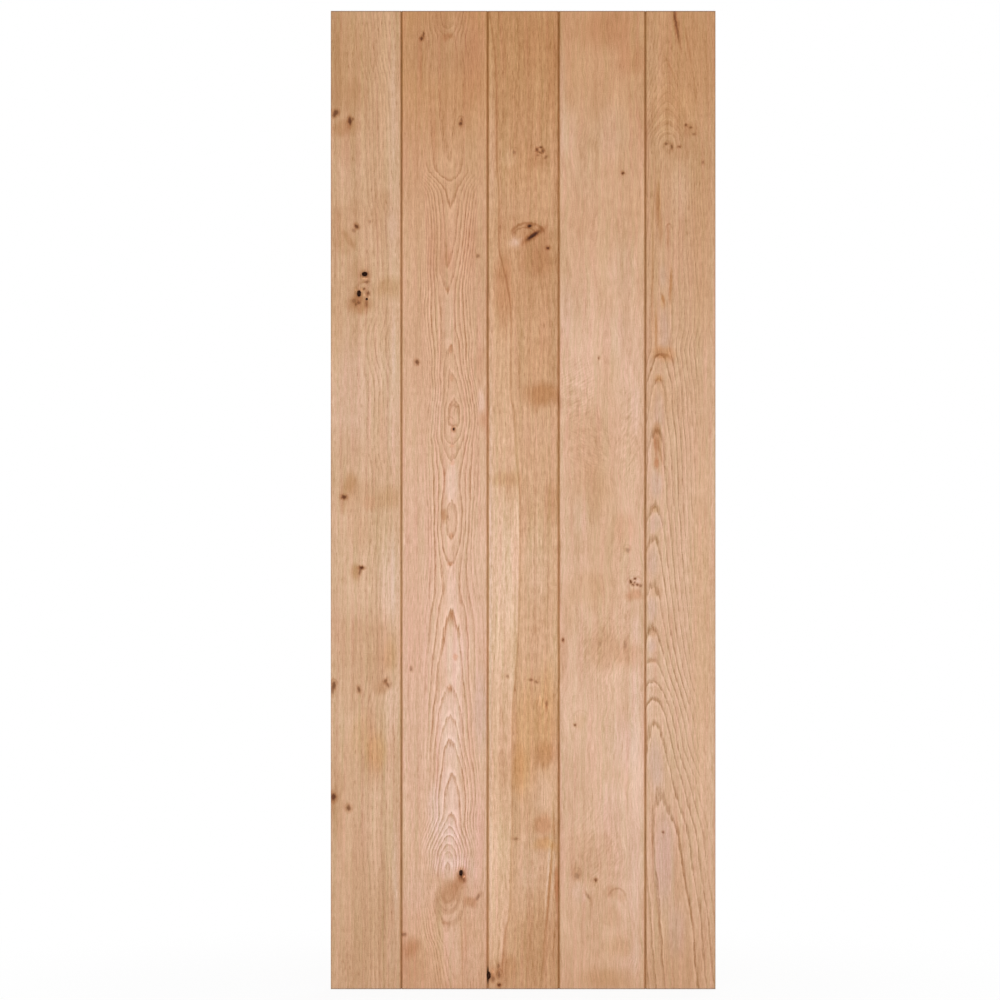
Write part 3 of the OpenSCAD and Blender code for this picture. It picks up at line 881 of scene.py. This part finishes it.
# %% Right board
boards["right_board"] = Board(
    slot="right_board_oak", pale=display(212, 173, 143), early=display(160, 114, 68), roundness=6.0,
    spacing=[(11, 2.4), (140, 2.4), (250, 3.0), (350, 3.8), (500, 3.8), (740, 4.2), (800, 5.0), (989, 5.0)],
    heart=[
        (11, 667), (150, 667), (250, 664), (355, 660), (431, 657), (508, 655), (560, 652), (660, 652),
        (700, 653), (740, 655), (800, 660), (812, 662), (838, 666.5), (880, 671), (920, 676), (960, 679),
        (989, 682),
    ],
    count=[
        (11, 30.4), (42, 30), (60, 29), (72, 28), (83, 27), (93, 26), (102, 25), (118, 23), (131, 21),
        (137, 20), (150, 19.5), (250, 19.4), (320, 19.4), (350, 19.25), (360, 18.8), (375, 18.25),
        (385, 17.8), (420, 17.3), (440, 16.8), (496, 16.2), (508, 16), (539, 15), (586, 14), (631, 13),
        (660, 12), (682, 11), (700, 10), (728, 9), (800, 8), (812, 7.8), (838, 7.46), (880, 7.4),
        (920, 7.27), (989, 7.22),
    ],
    line_rows=[
        (11, 0.14), (60, 0.22), (90, 0.28), (110, 0.32), (140, 0.34), (152, 0.35), (180, 0.38), (320, 0.45),
        (350, 0.85), (989, 0.95),
    ],
    roundness_rows=[
        (11, 6.0), (320, 6.0), (356, 3.6), (400, 4.0), (480, 4.8), (740, 4.8), (800, 6.0), (989, 6.0),
    ],
    plains=marks((694, 100, 44, 150, 0.9)),
    eyes=marks(
        (668, 143, 18, 20, 0.28), (667, 143, 30, 40, 0.35), (666, 144, 38, 66, 0.3),
        (666, 146, 44, 98, 0.25), (662, 364, 22, 20, 0.4), (669, 232, 7, 16, 0.5),
    ),
    knots=marks(
        (675, 18, 2.2, 18, 0.5, 6), (677.6, 31, 1.8, 22, 0.5, 8), (666.4, 143.6, 3, 2.2, 0.6),
        (672, 147, 2, 5, 0.6), (679.4, 146.6, 2.6, 2.2, 0.6), (686, 125.2, 2.6, 2.4, 0.65),
        (690.8, 127.5, 3, 1.8, 0.5), (694, 134, 3, 2, 0.4), (703, 162.5, 2, 3, 0.45),
        (663, 832, 1.8, 2, 0.6),
    ),
    bends=marks((678, 144, 20, 8, -0.8)),
    stains={
        "brown": marks(
            (679, 870, 14, 90, 0.25), (657, 452, 12, 44, 0.35), (657, 592, 14, 16, 0.3),
            (661, 356, 16, 5, 0.5), (678, 829, 2.6, 34, 0.5, 9), (683.4, 870, 2.6, 50, 0.5, 8),
            (690.4, 910, 2.6, 44, 0.5, 11), (657, 436, 9, 28, 0.7), (660, 452, 3, 26, 0.6, 12),
            (652, 632, 12, 10, 0.5), (652, 661, 10, 6, 0.5), (658, 381, 10, 7, 0.5),
            (680, 150, 40, 18, 0.25), (692, 132, 16, 16, 0.4), (658, 206, 6, 40, 0.6),
            (661, 230, 6, 34, 0.55), (668, 236, 3, 30, 0.6), (663, 299, 3, 14, 0.9, 14),
            (670.5, 286, 3, 36, 0.8, -4), (652, 300, 3, 90, 0.5), (656, 330, 3, 40, 0.6),
            (653, 250, 2.6, 120, 0.4), (668, 630, 18, 44, 0.2), (652.6, 846, 2.4, 50, 0.4, 2),
            (656, 898, 2.4, 60, 0.4, 6), (688, 45, 2.4, 64, 0.4, 10), (695, 92, 2.2, 40, 0.3, 6),
            (670.5, 68, 2.6, 30, 0.45, 25), (705.6, 52, 2, 50, 0.3, 5),
        ),
        "olive": marks(
            (655, 509, 10, 8, 0.6), (684, 960, 60, 80, 0.2), (702, 215, 26, 180, 0.4),
            (653, 200, 12, 280, 0.3), (702, 310, 24, 80, 0.25),
        ),
        "ochre": marks(
            (702, 620, 24, 420, 0.25), (660, 400, 30, 40, 0.2), (663, 355, 24, 16, 0.7),
            (690, 70, 50, 130, 0.2), (659, 378, 9, 8, 0.7), (657, 428, 8, 14, 0.5), (659, 200, 6, 60, 0.35),
            (656, 325, 3, 60, 0.35), (671, 285, 4, 50, 0.4), (663, 302, 6, 16, 0.5),
        ),
        "red": marks(
            (663, 355, 22, 14, 0.3), (656.5, 463, 6, 12, 0.8), (655.4, 447, 3, 26, 0.6, 6),
            (676, 22, 8, 40, 0.5, 8),
        ),
        "pale": marks(
            (680, 190, 20, 60, 0.3), (652, 90, 18, 150, 0.45), (649, 430, 10, 120, 0.3),
            (649, 660, 10, 140, 0.3), (659, 790, 14, 40, 0.3),
        ),
        "straw": marks((662, 108, 34, 60, 0.5), (684, 112, 24, 50, 0.35), (657, 332, 12, 40, 0.35)),
        "lilac": marks(
            (664, 330, 12, 50, 0.6), (663, 276, 8, 26, 0.5), (659, 410, 12, 40, 0.6),
            (656, 486, 12, 30, 0.6), (655, 523, 14, 18, 0.5), (653, 560, 12, 30, 0.5),
            (652, 610, 10, 24, 0.5), (652, 645, 10, 14, 0.5), (656, 765, 16, 50, 0.6),
            (664, 860, 22, 100, 0.7), (676, 930, 20, 60, 0.5),
        ),
    },
    offset=6.3, painted_shade=0.85, reach=34, line_strength=1.05, ragged=0.5, streak=0.56, line_width=0.45,
    uneven=0.0,
)
tell("right_board")

# %% [markdown]
# ## Making materials
# Every oak piece ends in the same shader: a dull surface with the colour and roughness of the oak group,
# and a relief of a fraction of a millimetre that follows its streaks and pores.

# %% Material helpers
OAK_SPECULAR = 0.2
OAK_BUMP = 0.35
OAK_BUMP_DEPTH = 0.0003


def new_material(name):
    """A material with nodes, its tree and its Principled shader."""
    material = bpy.data.materials.new(name)
    material.use_nodes = True
    return material, material.node_tree, material.node_tree.nodes["Principled BSDF"]


def object_place(tree):
    """Where a point lies in its own piece."""
    return Flow(add(tree, "ShaderNodeTexCoord").outputs["Object"])


def finish_oak(shader, oak, colour):
    bump = add(colour.tree, "ShaderNodeBump")
    feed(bump.inputs["Strength"], OAK_BUMP)
    feed(bump.inputs["Distance"], OAK_BUMP_DEPTH)
    feed(bump.inputs["Height"], oak["Height"])
    feed(shader.inputs["Base Color"], colour)
    feed(shader.inputs["Roughness"], oak["Roughness"])
    feed(shader.inputs["Specular IOR Level"], OAK_SPECULAR)
    feed(shader.inputs["Normal"], Flow(bump.outputs[0]))


def oval(place, mark, spread=1.0):
    """The masks of the oval group, set for one mark."""
    half_width = mark.width * spread * PIXEL / 2
    half_height = mark.height * spread * PIXEL / 2
    cosine = math.cos(math.radians(mark.turn))
    sine = math.sin(math.radians(mark.turn))
    return use_group(place.tree, oval_group, {
        "Place": place,
        "Centre": (across(mark.column), 0.0, rise(mark.row)),
        "Across": (cosine / half_width, 0.0, sine / half_width),
        "Along": (-sine / half_height, 0.0, cosine / half_height),
    })


print("material helpers ready")

# %% [markdown]
# ## The oak of a board
# The ring, fibre and colour groups are set for one board: its own heart, count and spacing, rings that bend
# round its larger knots, plain patches without lines, and patches of ripple where the grain waves in and
# out of the face.

# %% Rings and fibres of a board
SLOPE_STEP = 0.012
RIPPLE_GRAINS = (60.0, 60.0, 260.0)


def board_rings(board, place, grain_place, height):
    """The ring group, set for one board, with the rings bent round its larger knots."""
    count = up_the_leaf(height, board.count)
    slope = (up_the_leaf(height + SLOPE_STEP, board.count) - count) / SLOPE_STEP
    for mark in board.bends:
        count = oval(place, mark)["Swell"] * mark.strength + count
    roundness = board.roundness
    if board.roundness_rows:
        roundness = up_the_leaf(height, board.roundness_rows)
    return use_group(place.tree, ring_group, {
        "Place": grain_place,
        "Heart": up_the_leaf(height, columns(board.heart)) + board.offset,
        "Count": count,
        "Slope": slope,
        "Spacing": up_the_leaf(height, [(row, value * PIXEL) for row, value in board.spacing]),
        "Roundness": roundness,
        "Figure": board.figure,
        "Wobble": board.wobble,
        "Ragged": board.ragged,
        "Reach": board.reach * PIXEL,
        "Line Width": board.line_width * PIXEL,
        "Bark In Front": board.bark_in_front,
        "Uneven": board.uneven,
    })


def line_strength(board, place, side, height):
    """How strongly the ring lines show, up the board and across it. Plain patches have none."""
    strength = board.line_strength
    if board.line_rows:
        strength = up_the_leaf(height, board.line_rows) * strength
    if board.lines_within:
        start, full, last, end = [across(column) for column in board.lines_within]
        strength = ramp(side, start, full) * ramp(side, end, last) * strength
    for mark in board.plains:
        strength = (1.0 - oval(place, mark)["Blush"] * mark.strength) * strength
    return strength


def rippled(board, place, fleck):
    """The flecks, with the board's patches of ripple, each turned its own way."""
    for mark in board.ripples:
        turned = add(place.tree, "ShaderNodeVectorRotate", rotation_type="Y_AXIS")
        feed(turned.inputs["Vector"], place)
        feed(turned.inputs["Angle"], math.radians(mark.turn))
        wave = swing(Flow(turned.outputs[0]), RIPPLE_GRAINS, detail=1.0)
        shown = oval(place, replace(mark, turn=0.0))["Blush"] * mark.strength
        fleck = wave * shown + fleck
    return fleck


def board_oak(board, rings, place, grain_place, strength):
    """The oak colour group, set for one board."""
    fibres = use_group(place.tree, fibre_group, {"Place": grain_place})
    return use_group(place.tree, oak_group, {
        **rings,
        **fibres,
        "Pores": fibres["Pores"] * board.pores,
        "Fleck": rippled(board, place, fibres["Fleck"] * board.fleck),
        "Pale": board.pale,
        "Early": board.early,
        "Line Strength": strength,
        "Bands Strength": board.bands,
        "Streak Strength": board.streak,
        "Mottle Strength": board.mottle,
    })


print("oak helpers ready")

# %% [markdown]
# ## Marks on a board
# Stains, eyes, knots, pale chips and a painted glint, and the dark inside of open pits, which is partly
# knot wood and partly painted shade that deepens with depth, are laid over the oak one by one, each as a
# tint in an oval. A little noise moves the place where an oval is drawn, so that its outline looks grown:
# finely for knots and small stains, and in broad clouds for the large ones.

# %% Marks on a board
STAIN_TINTS = {
    "brown": (0.76, 0.60, 0.42, 1.0),
    "red": (0.84, 0.62, 0.46, 1.0),
    "olive": (0.80, 0.70, 0.50, 1.0),
    "pale": (1.12, 1.22, 1.42, 1.0),
    "straw": (1.16, 1.18, 1.16, 1.0),
    "pink": (1.03, 1.02, 1.12, 1.0),
    "lilac": (0.95, 1.00, 1.22, 1.0),
    "ochre": (0.94, 0.82, 0.58, 1.0),
}
SMALL_STAIN = 9
EYE_TINT = (0.66, 0.50, 0.34, 1.0)
KNOT_CORE_TINT = (0.26, 0.13, 0.04, 1.0)
KNOT_RIM_TINT = (0.72, 0.51, 0.32, 1.0)
RIM_SHARE = 0.8
KNOT_SPREAD = 1.15
# Pale chipped wood round open knots, and a painted glint on one dark knot.
CHIP_AND_GLINT_TINT = (1.6, 1.7, 1.8, 1.0)
# The inside of an open pit: partly dark knot wood, partly painted shade that deepens with depth.
PIT_KNOT_AND_SHADE_TINT = (0.10, 0.06, 0.05, 1.0)
PIT_SPREAD = 2.2
PIT_SHADE_DEPTH_RAMP = (0.0003, 0.0020)
KNOT_GRAINS = (230.0, 230.0, 150.0)
KNOT_WARP = (0.0045, 0.0, 0.0060)
CLOUD_GRAINS = (34.0, 34.0, 11.0)
CLOUD_WARP = (0.014, 0.0, 0.036)


def marked_colour(board, colour, place, depth):
    """The board's colour with its stains, eyes, knots, chips and a painted glint, and its pits darkened
    partly as knot wood and partly by painted shade.
    """
    knot_place = warped(place, KNOT_GRAINS, KNOT_WARP)
    cloud_place = warped(place, CLOUD_GRAINS, CLOUD_WARP)
    for kind, stains in board.stains.items():
        for mark in stains:
            small = min(mark.width, mark.height) < SMALL_STAIN
            mask = oval(knot_place if small else cloud_place, mark)["Blush"]
            colour = tinted(colour, mask * mark.strength, STAIN_TINTS[kind])
    for mark in board.eyes:
        colour = tinted(colour, oval(knot_place, mark)["Brow"] * mark.strength, EYE_TINT)
    for mark in board.knots:
        masks = oval(knot_place, mark, KNOT_SPREAD)
        colour = tinted(colour, masks["Rim"] * (RIM_SHARE * mark.strength), KNOT_RIM_TINT)
        colour = tinted(colour, masks["Core"] * mark.strength, KNOT_CORE_TINT)
    # Pale chips, and a painted glint on the second board's dark knot.
    for mark in board.chips_and_glints:
        colour = tinted(colour, oval(knot_place, mark)["Blush"] * mark.strength, CHIP_AND_GLINT_TINT)
    # Inside the open pits: partly dark knot wood, partly painted shade that deepens with depth.
    inside = ramp(depth, *PIT_SHADE_DEPTH_RAMP) * ramp(depth, *BACK_HALF_RAMP)
    for pit in board.pits:
        colour = tinted(colour, oval(place, pit, PIT_SPREAD)["Core"] * inside, PIT_KNOT_AND_SHADE_TINT)
    return colour


print(len(STAIN_TINTS), "kinds of stain")

# %% [markdown]
# ## The board material
# Less light fell on the top of the leaf, and a little less on its foot, so a painted shade darkens and browns
# the boards towards the top and a little towards the foot. One board keeps a band of pale sapwood along its
# left side. The material puts all of it together: the oak, the sapwood, the painted shade, the marks, and
# then the edges and joints.

# %% Board material
# Painted shade: the top of the leaf, and a little its foot, had less light, so the colour there is darkened
# and browned by this tint, by the share given for each row.
PAINTED_SHADE_TINT = (0.75, 0.60, 0.385, 1.0)
PAINTED_SHADE_BY_ROW = [(11, 1.0), (90, 0.92), (160, 0.7), (260, 0.5), (400, 0.3), (540, 0.06), (640, 0.0), (780, 0.05),
          (880, 0.2), (989, 0.45)]
SAPWOOD_TINT = (1.14, 1.24, 1.38, 1.0)
SAPWOOD_RAMP = (0.0016, -0.0016)
SAPWOOD_LINE_TINT = (0.80, 0.70, 0.57, 1.0)
SAPWOOD_LINE_RAMP = (0.0032, 0.0004, 0.0, 0.8)
EDGE_TINTS = {
    "Edge": (0.74, 0.66, 0.58, 1.0),
    "Rule": (0.72, 0.80, 0.95, 1.0),
    "End": (0.80, 0.72, 0.62, 1.0),
    "Seam": (0.80, 0.70, 0.58, 1.0),
    # Painted light that offsets the shade behind the front face, as in the V of each joint.
    "Painted Groove Light": (1.26, 1.34, 1.26, 1.0),
}
WAVE_GRAINS = (20.0, 20.0, 9.0)


def sapwood_colour(colour, side, height, edge_points):
    """Paler wood on the left of a wandering edge, with a thin brown line along the edge."""
    from_edge = side - up_the_leaf(height, columns(edge_points))
    pale_side = ramp(from_edge, *SAPWOOD_RAMP) * up_the_leaf(height, SAPWOOD_PALENESS)
    colour = tinted(colour, pale_side, SAPWOOD_TINT)
    return tinted(colour, ramp(abs(from_edge), *SAPWOOD_LINE_RAMP), SAPWOOD_LINE_TINT)


def board_material(name, board):
    material, tree, shader = new_material(name + "_oak")
    place = vector_calc("SUBTRACT", object_place(tree), (0.0, FRONT_FACE, 0.0))
    grain_place = vector_calc("ADD", place, (board.offset, 0.0, 0.0))
    if board.wave:
        grain_place = warped(grain_place, WAVE_GRAINS, (board.wave, 0.0, 0.0))
    side, depth, height = split(place)
    rings = board_rings(board, place, grain_place, height)
    strength = line_strength(board, place, side, height)
    oak = board_oak(board, rings, place, grain_place, strength)
    colour = oak["Colour"]
    if board.sapwood:
        colour = sapwood_colour(colour, side, height, board.sapwood)
    # Painted shade towards the top and a little towards the foot.
    colour = tinted(colour, up_the_leaf(height, PAINTED_SHADE_BY_ROW) * board.painted_shade, PAINTED_SHADE_TINT)
    colour = marked_colour(board, colour, place, depth)
    edges = use_group(tree, edge_group, {"Place": place})
    for mask, tint in EDGE_TINTS.items():
        colour = tinted(colour, edges[mask], tint)
    finish_oak(shader, oak, colour)
    return material


board_materials = {name: board_material(name, board) for name, board in boards.items()}
for material in board_materials.values():
    print(material.name, "has", len(material.node_tree.nodes), "nodes")

# %% [markdown]
# ## The boards
# The boards keep the shape of the frame's boards: tongue, groove and V. A copy of each mesh is merged, its
# edges are rounded a little, as a plane leaves them, and the open knots are cut out as real hollows.

# %% Shaping a board
MERGE_DISTANCE = 1e-6
FLAT_ANGLE = math.radians(0.5)
SMOOTH_ANGLE = math.radians(35)
SOFTENED_DEPTH = 0.0045
SHORT_EDGE = 0.03
EDGE_ROUND = 0.0003
NARROW_FACE = 0.0006


def select_only(piece):
    bpy.ops.object.select_all(action="DESELECT")
    piece.select_set(True)
    bpy.context.view_layer.objects.active = piece


def board_piece(name):
    """A new piece with the shape of a board of the frame, its doubles merged."""
    piece = bpy.data.objects.new(name.replace("_board", "_plank"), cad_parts[name].data.copy())
    bpy.context.scene.collection.objects.link(piece)
    select_only(piece)
    bpy.ops.object.mode_set(mode="EDIT")
    bpy.ops.mesh.select_all(action="SELECT")
    bpy.ops.mesh.remove_doubles(threshold=MERGE_DISTANCE)
    bpy.ops.mesh.dissolve_limited(angle_limit=FLAT_ANGLE)
    bpy.ops.object.mode_set(mode="OBJECT")
    return piece


def edge_ends(piece, edge):
    return [piece.data.vertices[index].co for index in edge.vertices]


def soften_front(piece):
    """Round the long edges of the front a little, as a plane and sandpaper leave them."""
    for edge in piece.data.edges:
        first, second = edge_ends(piece, edge)
        in_front = max(first.y, second.y) < FRONT_FACE + SOFTENED_DEPTH
        edge.select = in_front and (first - second).length > SHORT_EDGE
    bpy.ops.object.mode_set(mode="EDIT")
    bpy.ops.mesh.select_mode(type="EDGE")
    bpy.ops.mesh.bevel(offset=EDGE_ROUND, segments=2, affect="EDGES", clamp_overlap=True)
    bpy.ops.object.mode_set(mode="OBJECT")


def shade_planed(piece):
    """Smooth shading on the narrow rounded edges, flat shading on the planed faces."""
    bpy.ops.object.shade_smooth_by_angle(angle=SMOOTH_ANGLE)
    edge_lengths = {}
    for edge in piece.data.edges:
        first, second = edge_ends(piece, edge)
        edge_lengths[edge.key] = (first - second).length
    for face in piece.data.polygons:
        outline = sum(edge_lengths[key] for key in face.edge_keys)
        face.select = 2 * face.area / outline > NARROW_FACE
    bpy.ops.object.mode_set(mode="EDIT")
    bpy.ops.mesh.select_mode(type="FACE")
    bpy.ops.mesh.faces_shade_flat()
    bpy.ops.object.mode_set(mode="OBJECT")


print("shaping helpers ready")

# %% Boards
MM_PER_METRE = 1000
PIT_SUBDIVISIONS = 3
PIT_UNEVENNESS = 0.15
PIT_SMOOTHING = 0.5


def cut_pit(piece, pit, seed):
    """Cut one open knot out of a board with an uneven egg."""
    bpy.ops.object.select_all(action="DESELECT")
    bpy.ops.mesh.primitive_ico_sphere_add(
        subdivisions=PIT_SUBDIVISIONS, radius=1.0, location=(across(pit.column), FRONT_FACE, rise(pit.row)),
        rotation=(0.0, math.radians(-pit.turn), 0.0),
        scale=(pit.width * PIXEL / 2, pit.depth / MM_PER_METRE, pit.height * PIXEL / 2))
    cutter = bpy.context.active_object
    bpy.ops.object.shade_smooth()
    bpy.ops.object.transform_apply(location=False, rotation=True, scale=True)
    bpy.ops.object.mode_set(mode="EDIT")
    bpy.ops.mesh.select_all(action="SELECT")
    bpy.ops.transform.vertex_random(offset=PIT_UNEVENNESS * min(pit.width, pit.height) * PIXEL, seed=seed)
    bpy.ops.mesh.vertices_smooth(factor=PIT_SMOOTHING, repeat=1)
    bpy.ops.object.mode_set(mode="OBJECT")
    select_only(piece)
    hollow = piece.modifiers.new("open_knot", "BOOLEAN")
    hollow.operation = "DIFFERENCE"
    hollow.solver = "EXACT"
    hollow.object = cutter
    bpy.ops.object.modifier_apply(modifier=hollow.name)
    bpy.data.objects.remove(cutter)


for name, board in boards.items():
    plank = board_piece(name)
    plank.data.materials.clear()
    plank.data.materials.append(board_materials[name])
    soften_front(plank)
    shade_planed(plank)
    for seed, pit in enumerate(board.pits):
        cut_pit(plank, pit, seed)
    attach(plank, "root")
    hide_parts(name)
    print(plank.name, len(plank.data.polygons), "faces")

# %% [markdown]
# ## Ledges
# The three ledges on the back are oak too, with the grain lying across the leaf. The same groups draw it
# once the place is turned, so that what was up the board is now along the ledge. The rings drift in and out
# along the ledge, which gives each its own arches, and an offset makes every ledge a piece of its own.

# %% Ledges
LEDGE_PALE = display(206, 166, 132)
LEDGE_EARLY = display(166, 118, 80)
LEDGE_OFFSETS = {"top_ledge": 2.3, "middle_ledge": 5.1, "bottom_ledge": 8.6}
LYING_RINGS = {
    "Slope": 0.0,
    "Spacing": 0.0075,
    "Roundness": 3.0,
    "Figure": (22.0, 22.0, 5.0),
    "Wobble": 0.6,
    "Ragged": 0.5,
    "Reach": 0.2,
    "Line Width": 0.0014,
    "Bark In Front": 0.0,
    "Uneven": 0.6,
}
LYING_STRENGTHS = {
    "Line Strength": 0.8,
    "Bands Strength": 0.35,
    "Streak Strength": 0.45,
    "Mottle Strength": 0.3,
}
LYING_FLECK = 0.1
HEART_GRAINS = (0.0, 0.0, 3.0)
HEART_WANDER = 0.08
COUNT_GRAINS = (0.0, 0.0, 2.2)
COUNT_SPAN = 9.0


def lying_place(tree, node, offset):
    """A place whose Z runs along the leaf's X, counted from the middle of the node's back."""
    low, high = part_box(node)
    side, depth, height = split(object_place(tree))
    return join(height - (low.z + high.z) / 2, high.y - depth, side + offset)


def lying_oak(place, pale, early):
    """The oak colour group, set for a piece whose grain runs along X."""
    fibres = use_group(place.tree, fibre_group, {"Place": place})
    rings = use_group(place.tree, ring_group, {
        **LYING_RINGS,
        "Place": place,
        "Heart": swing(place, HEART_GRAINS, detail=1.0) * HEART_WANDER,
        "Count": noise(place, COUNT_GRAINS, detail=1.0) * COUNT_SPAN,
    })
    return use_group(place.tree, oak_group, {
        **rings,
        **fibres,
        **LYING_STRENGTHS,
        "Fleck": fibres["Fleck"] * LYING_FLECK,
        "Pale": pale,
        "Early": early,
    })


def dress(node, material):
    """Give a node of the frame its finished material."""
    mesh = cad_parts[node].data
    mesh.materials.clear()
    mesh.materials.append(material)
    print(node, "dressed in", material.name)


for ledge, offset in LEDGE_OFFSETS.items():
    material, tree, shader = new_material(ledge + "_oak")
    oak = lying_oak(lying_place(tree, ledge, offset), LEDGE_PALE, LEDGE_EARLY)
    finish_oak(shader, oak, oak["Colour"])
    dress(ledge, material)

# %% [markdown]
# ## Plugs
# A plug is cut across the grain of an offcut and glued in with its grain along the ledge. No two offcuts
# are the same, so a random tone per plug, taken from where it sits, sets each one a little lighter or
# darker.

# %% Plugs
PLUG_PALE = display(200, 158, 122)
PLUG_EARLY = display(160, 112, 74)
PLUG_SPREAD = 5 / LEAF_WIDTH
PLUG_ROW_STEP = 11.0
PLUG_SHIFT = (0.2, 0.0, 3.0)
PLUG_DARKEST = 0.72
PLUG_TONE_SPAN = 0.45

for ledge, offset in LEDGE_OFFSETS.items():
    node = ledge + "_plugs"
    material, tree, shader = new_material(node + "_oak")
    place = lying_place(tree, node, offset)
    height, _, along = split(place)
    beside = calc("ROUND", (along - offset) * PLUG_SPREAD)
    tone = add(tree, "ShaderNodeTexWhiteNoise", noise_dimensions="1D")
    feed(tone.inputs["W"], calc("SIGN", height) * PLUG_ROW_STEP + (beside + offset))
    shifted = vector_calc("MULTIPLY_ADD", Flow(tone.outputs["Color"]), PLUG_SHIFT, place)
    oak = lying_oak(shifted, PLUG_PALE, PLUG_EARLY)
    level = Flow(tone.outputs["Value"]) * PLUG_TONE_SPAN + PLUG_DARKEST
    finish_oak(shader, oak, tinted(oak["Colour"], 1.0, join(level, level, level)))
    dress(node, material)

# %% [markdown]
# ## Screws
# The screws are steel with a thin yellowish zinc coat. They sit under the plugs, so one simple metal is
# enough: a cloudy tint, and streaks of turning round the shank in its roughness.

# %% Screws
STEEL = display(176, 172, 160)
ZINC = display(196, 178, 128)
ZINC_GRAINS = (300.0, 300.0, 300.0)
ZINC_RAMP = (0.3, 0.7)
TURNING_GRAINS = (60.0, 1800.0, 60.0)
TURNING_ROUGHNESS = (0.3, 0.7, 0.28, 0.45)

screw_material, tree, shader = new_material("screw_steel")
place = object_place(tree)
zinc_cloud = ramp(noise(place, ZINC_GRAINS, detail=3.0), *ZINC_RAMP)
feed(shader.inputs["Metallic"], 1.0)
feed(shader.inputs["Base Color"], blend(zinc_cloud, STEEL, ZINC))
feed(shader.inputs["Roughness"], ramp(noise(place, TURNING_GRAINS, detail=1.0), *TURNING_ROUGHNESS))
for ledge in LEDGE_OFFSETS:
    dress(ledge + "_screws", screw_material)

# %% [markdown]
# ## Floor and light
# The leaf stands on a plain pale floor in soft studio light. The camera sees the floor almost white, as in
# the photograph, while the floor still takes the leaf's shadow near its foot.

# %% Floor
FLOOR_SIZE = 60.0
FLOOR_COLOUR = (0.86, 0.86, 0.86, 1.0)
FLOOR_ROUGHNESS = 0.9
FLOOR_GRAINS = (0.6, 0.6, 0.6)
FLOOR_TONES = (0.0, 1.0, 0.97, 1.0)
FLOOR_GLOW_RAMP = (0.4, 1.5, 0.92, 1.0)


def clear_rays(tree):
    """1 for the rays that show a thing plainly: to the camera, in a mirror or through glass."""
    path = add(tree, "ShaderNodeLightPath").outputs
    mirror_or_glass = calc("MAXIMUM", Flow(path["Is Glossy Ray"]), Flow(path["Is Transmission Ray"]))
    return calc("MAXIMUM", Flow(path["Is Camera Ray"]), mirror_or_glass)


def mixed_shader(factor, under, over):
    return Flow(add(factor.tree, "ShaderNodeMixShader", factor, Flow(under), Flow(over)).outputs[0])


bpy.ops.object.select_all(action="DESELECT")
bpy.ops.mesh.primitive_plane_add(size=FLOOR_SIZE, location=(0, 0, LEAF_LOW.z))
floor = bpy.context.active_object
floor.name = "studio_floor"
floor_material, tree, shader = new_material("studio_floor")
place = object_place(tree)
feed(shader.inputs["Base Color"], tinted(FLOOR_COLOUR, 1.0, ramp(noise(place, FLOOR_GRAINS), *FLOOR_TONES)))
feed(shader.inputs["Roughness"], FLOOR_ROUGHNESS)
glow = add(tree, "ShaderNodeEmission", WHITE, 1.0)
from_leaf = vector_calc("LENGTH", place, output="Value")
glow_share = clear_rays(tree) * ramp(from_leaf, *FLOOR_GLOW_RAMP)
feed(tree.nodes["Material Output"].inputs["Surface"],
     mixed_shader(glow_share, shader.outputs[0], glow.outputs[0]))
floor.data.materials.append(floor_material)
print("floor laid")

# %% Light
SKY_LEVEL = 0.6
LAMP_SIZE = 3.0
LAMPS = {"key_light": ((-0.2, -5.0, 1.0), 130.0), "back_light": ((1.2, 4.8, 1.5), 120.0)}

world = bpy.data.worlds.new("studio")
bpy.context.scene.world = world
world.use_nodes = True
tree = world.node_tree
tree.nodes.clear()
soft = add(tree, "ShaderNodeBackground", WHITE, SKY_LEVEL)
bright = add(tree, "ShaderNodeBackground", WHITE, 1.0)
sky = mixed_shader(clear_rays(tree), soft.outputs[0], bright.outputs[0])
feed(add(tree, "ShaderNodeOutputWorld").inputs["Surface"], sky)

leaf_middle = (LEAF_LOW + LEAF_HIGH) / 2
for lamp_name, (lamp_place, power) in LAMPS.items():
    lamp_data = bpy.data.lights.new(lamp_name, "AREA")
    lamp_data.energy = power
    lamp_data.size = LAMP_SIZE
    lamp = bpy.data.objects.new(lamp_name, lamp_data)
    bpy.context.scene.collection.objects.link(lamp)
    lamp.location = lamp_place
    lamp.rotation_euler = (leaf_middle - lamp.location).to_track_quat("-Z", "Y").to_euler()
    print(lamp_name, "gives", power, "watts")
bpy.context.scene.view_settings.view_transform = "Standard"
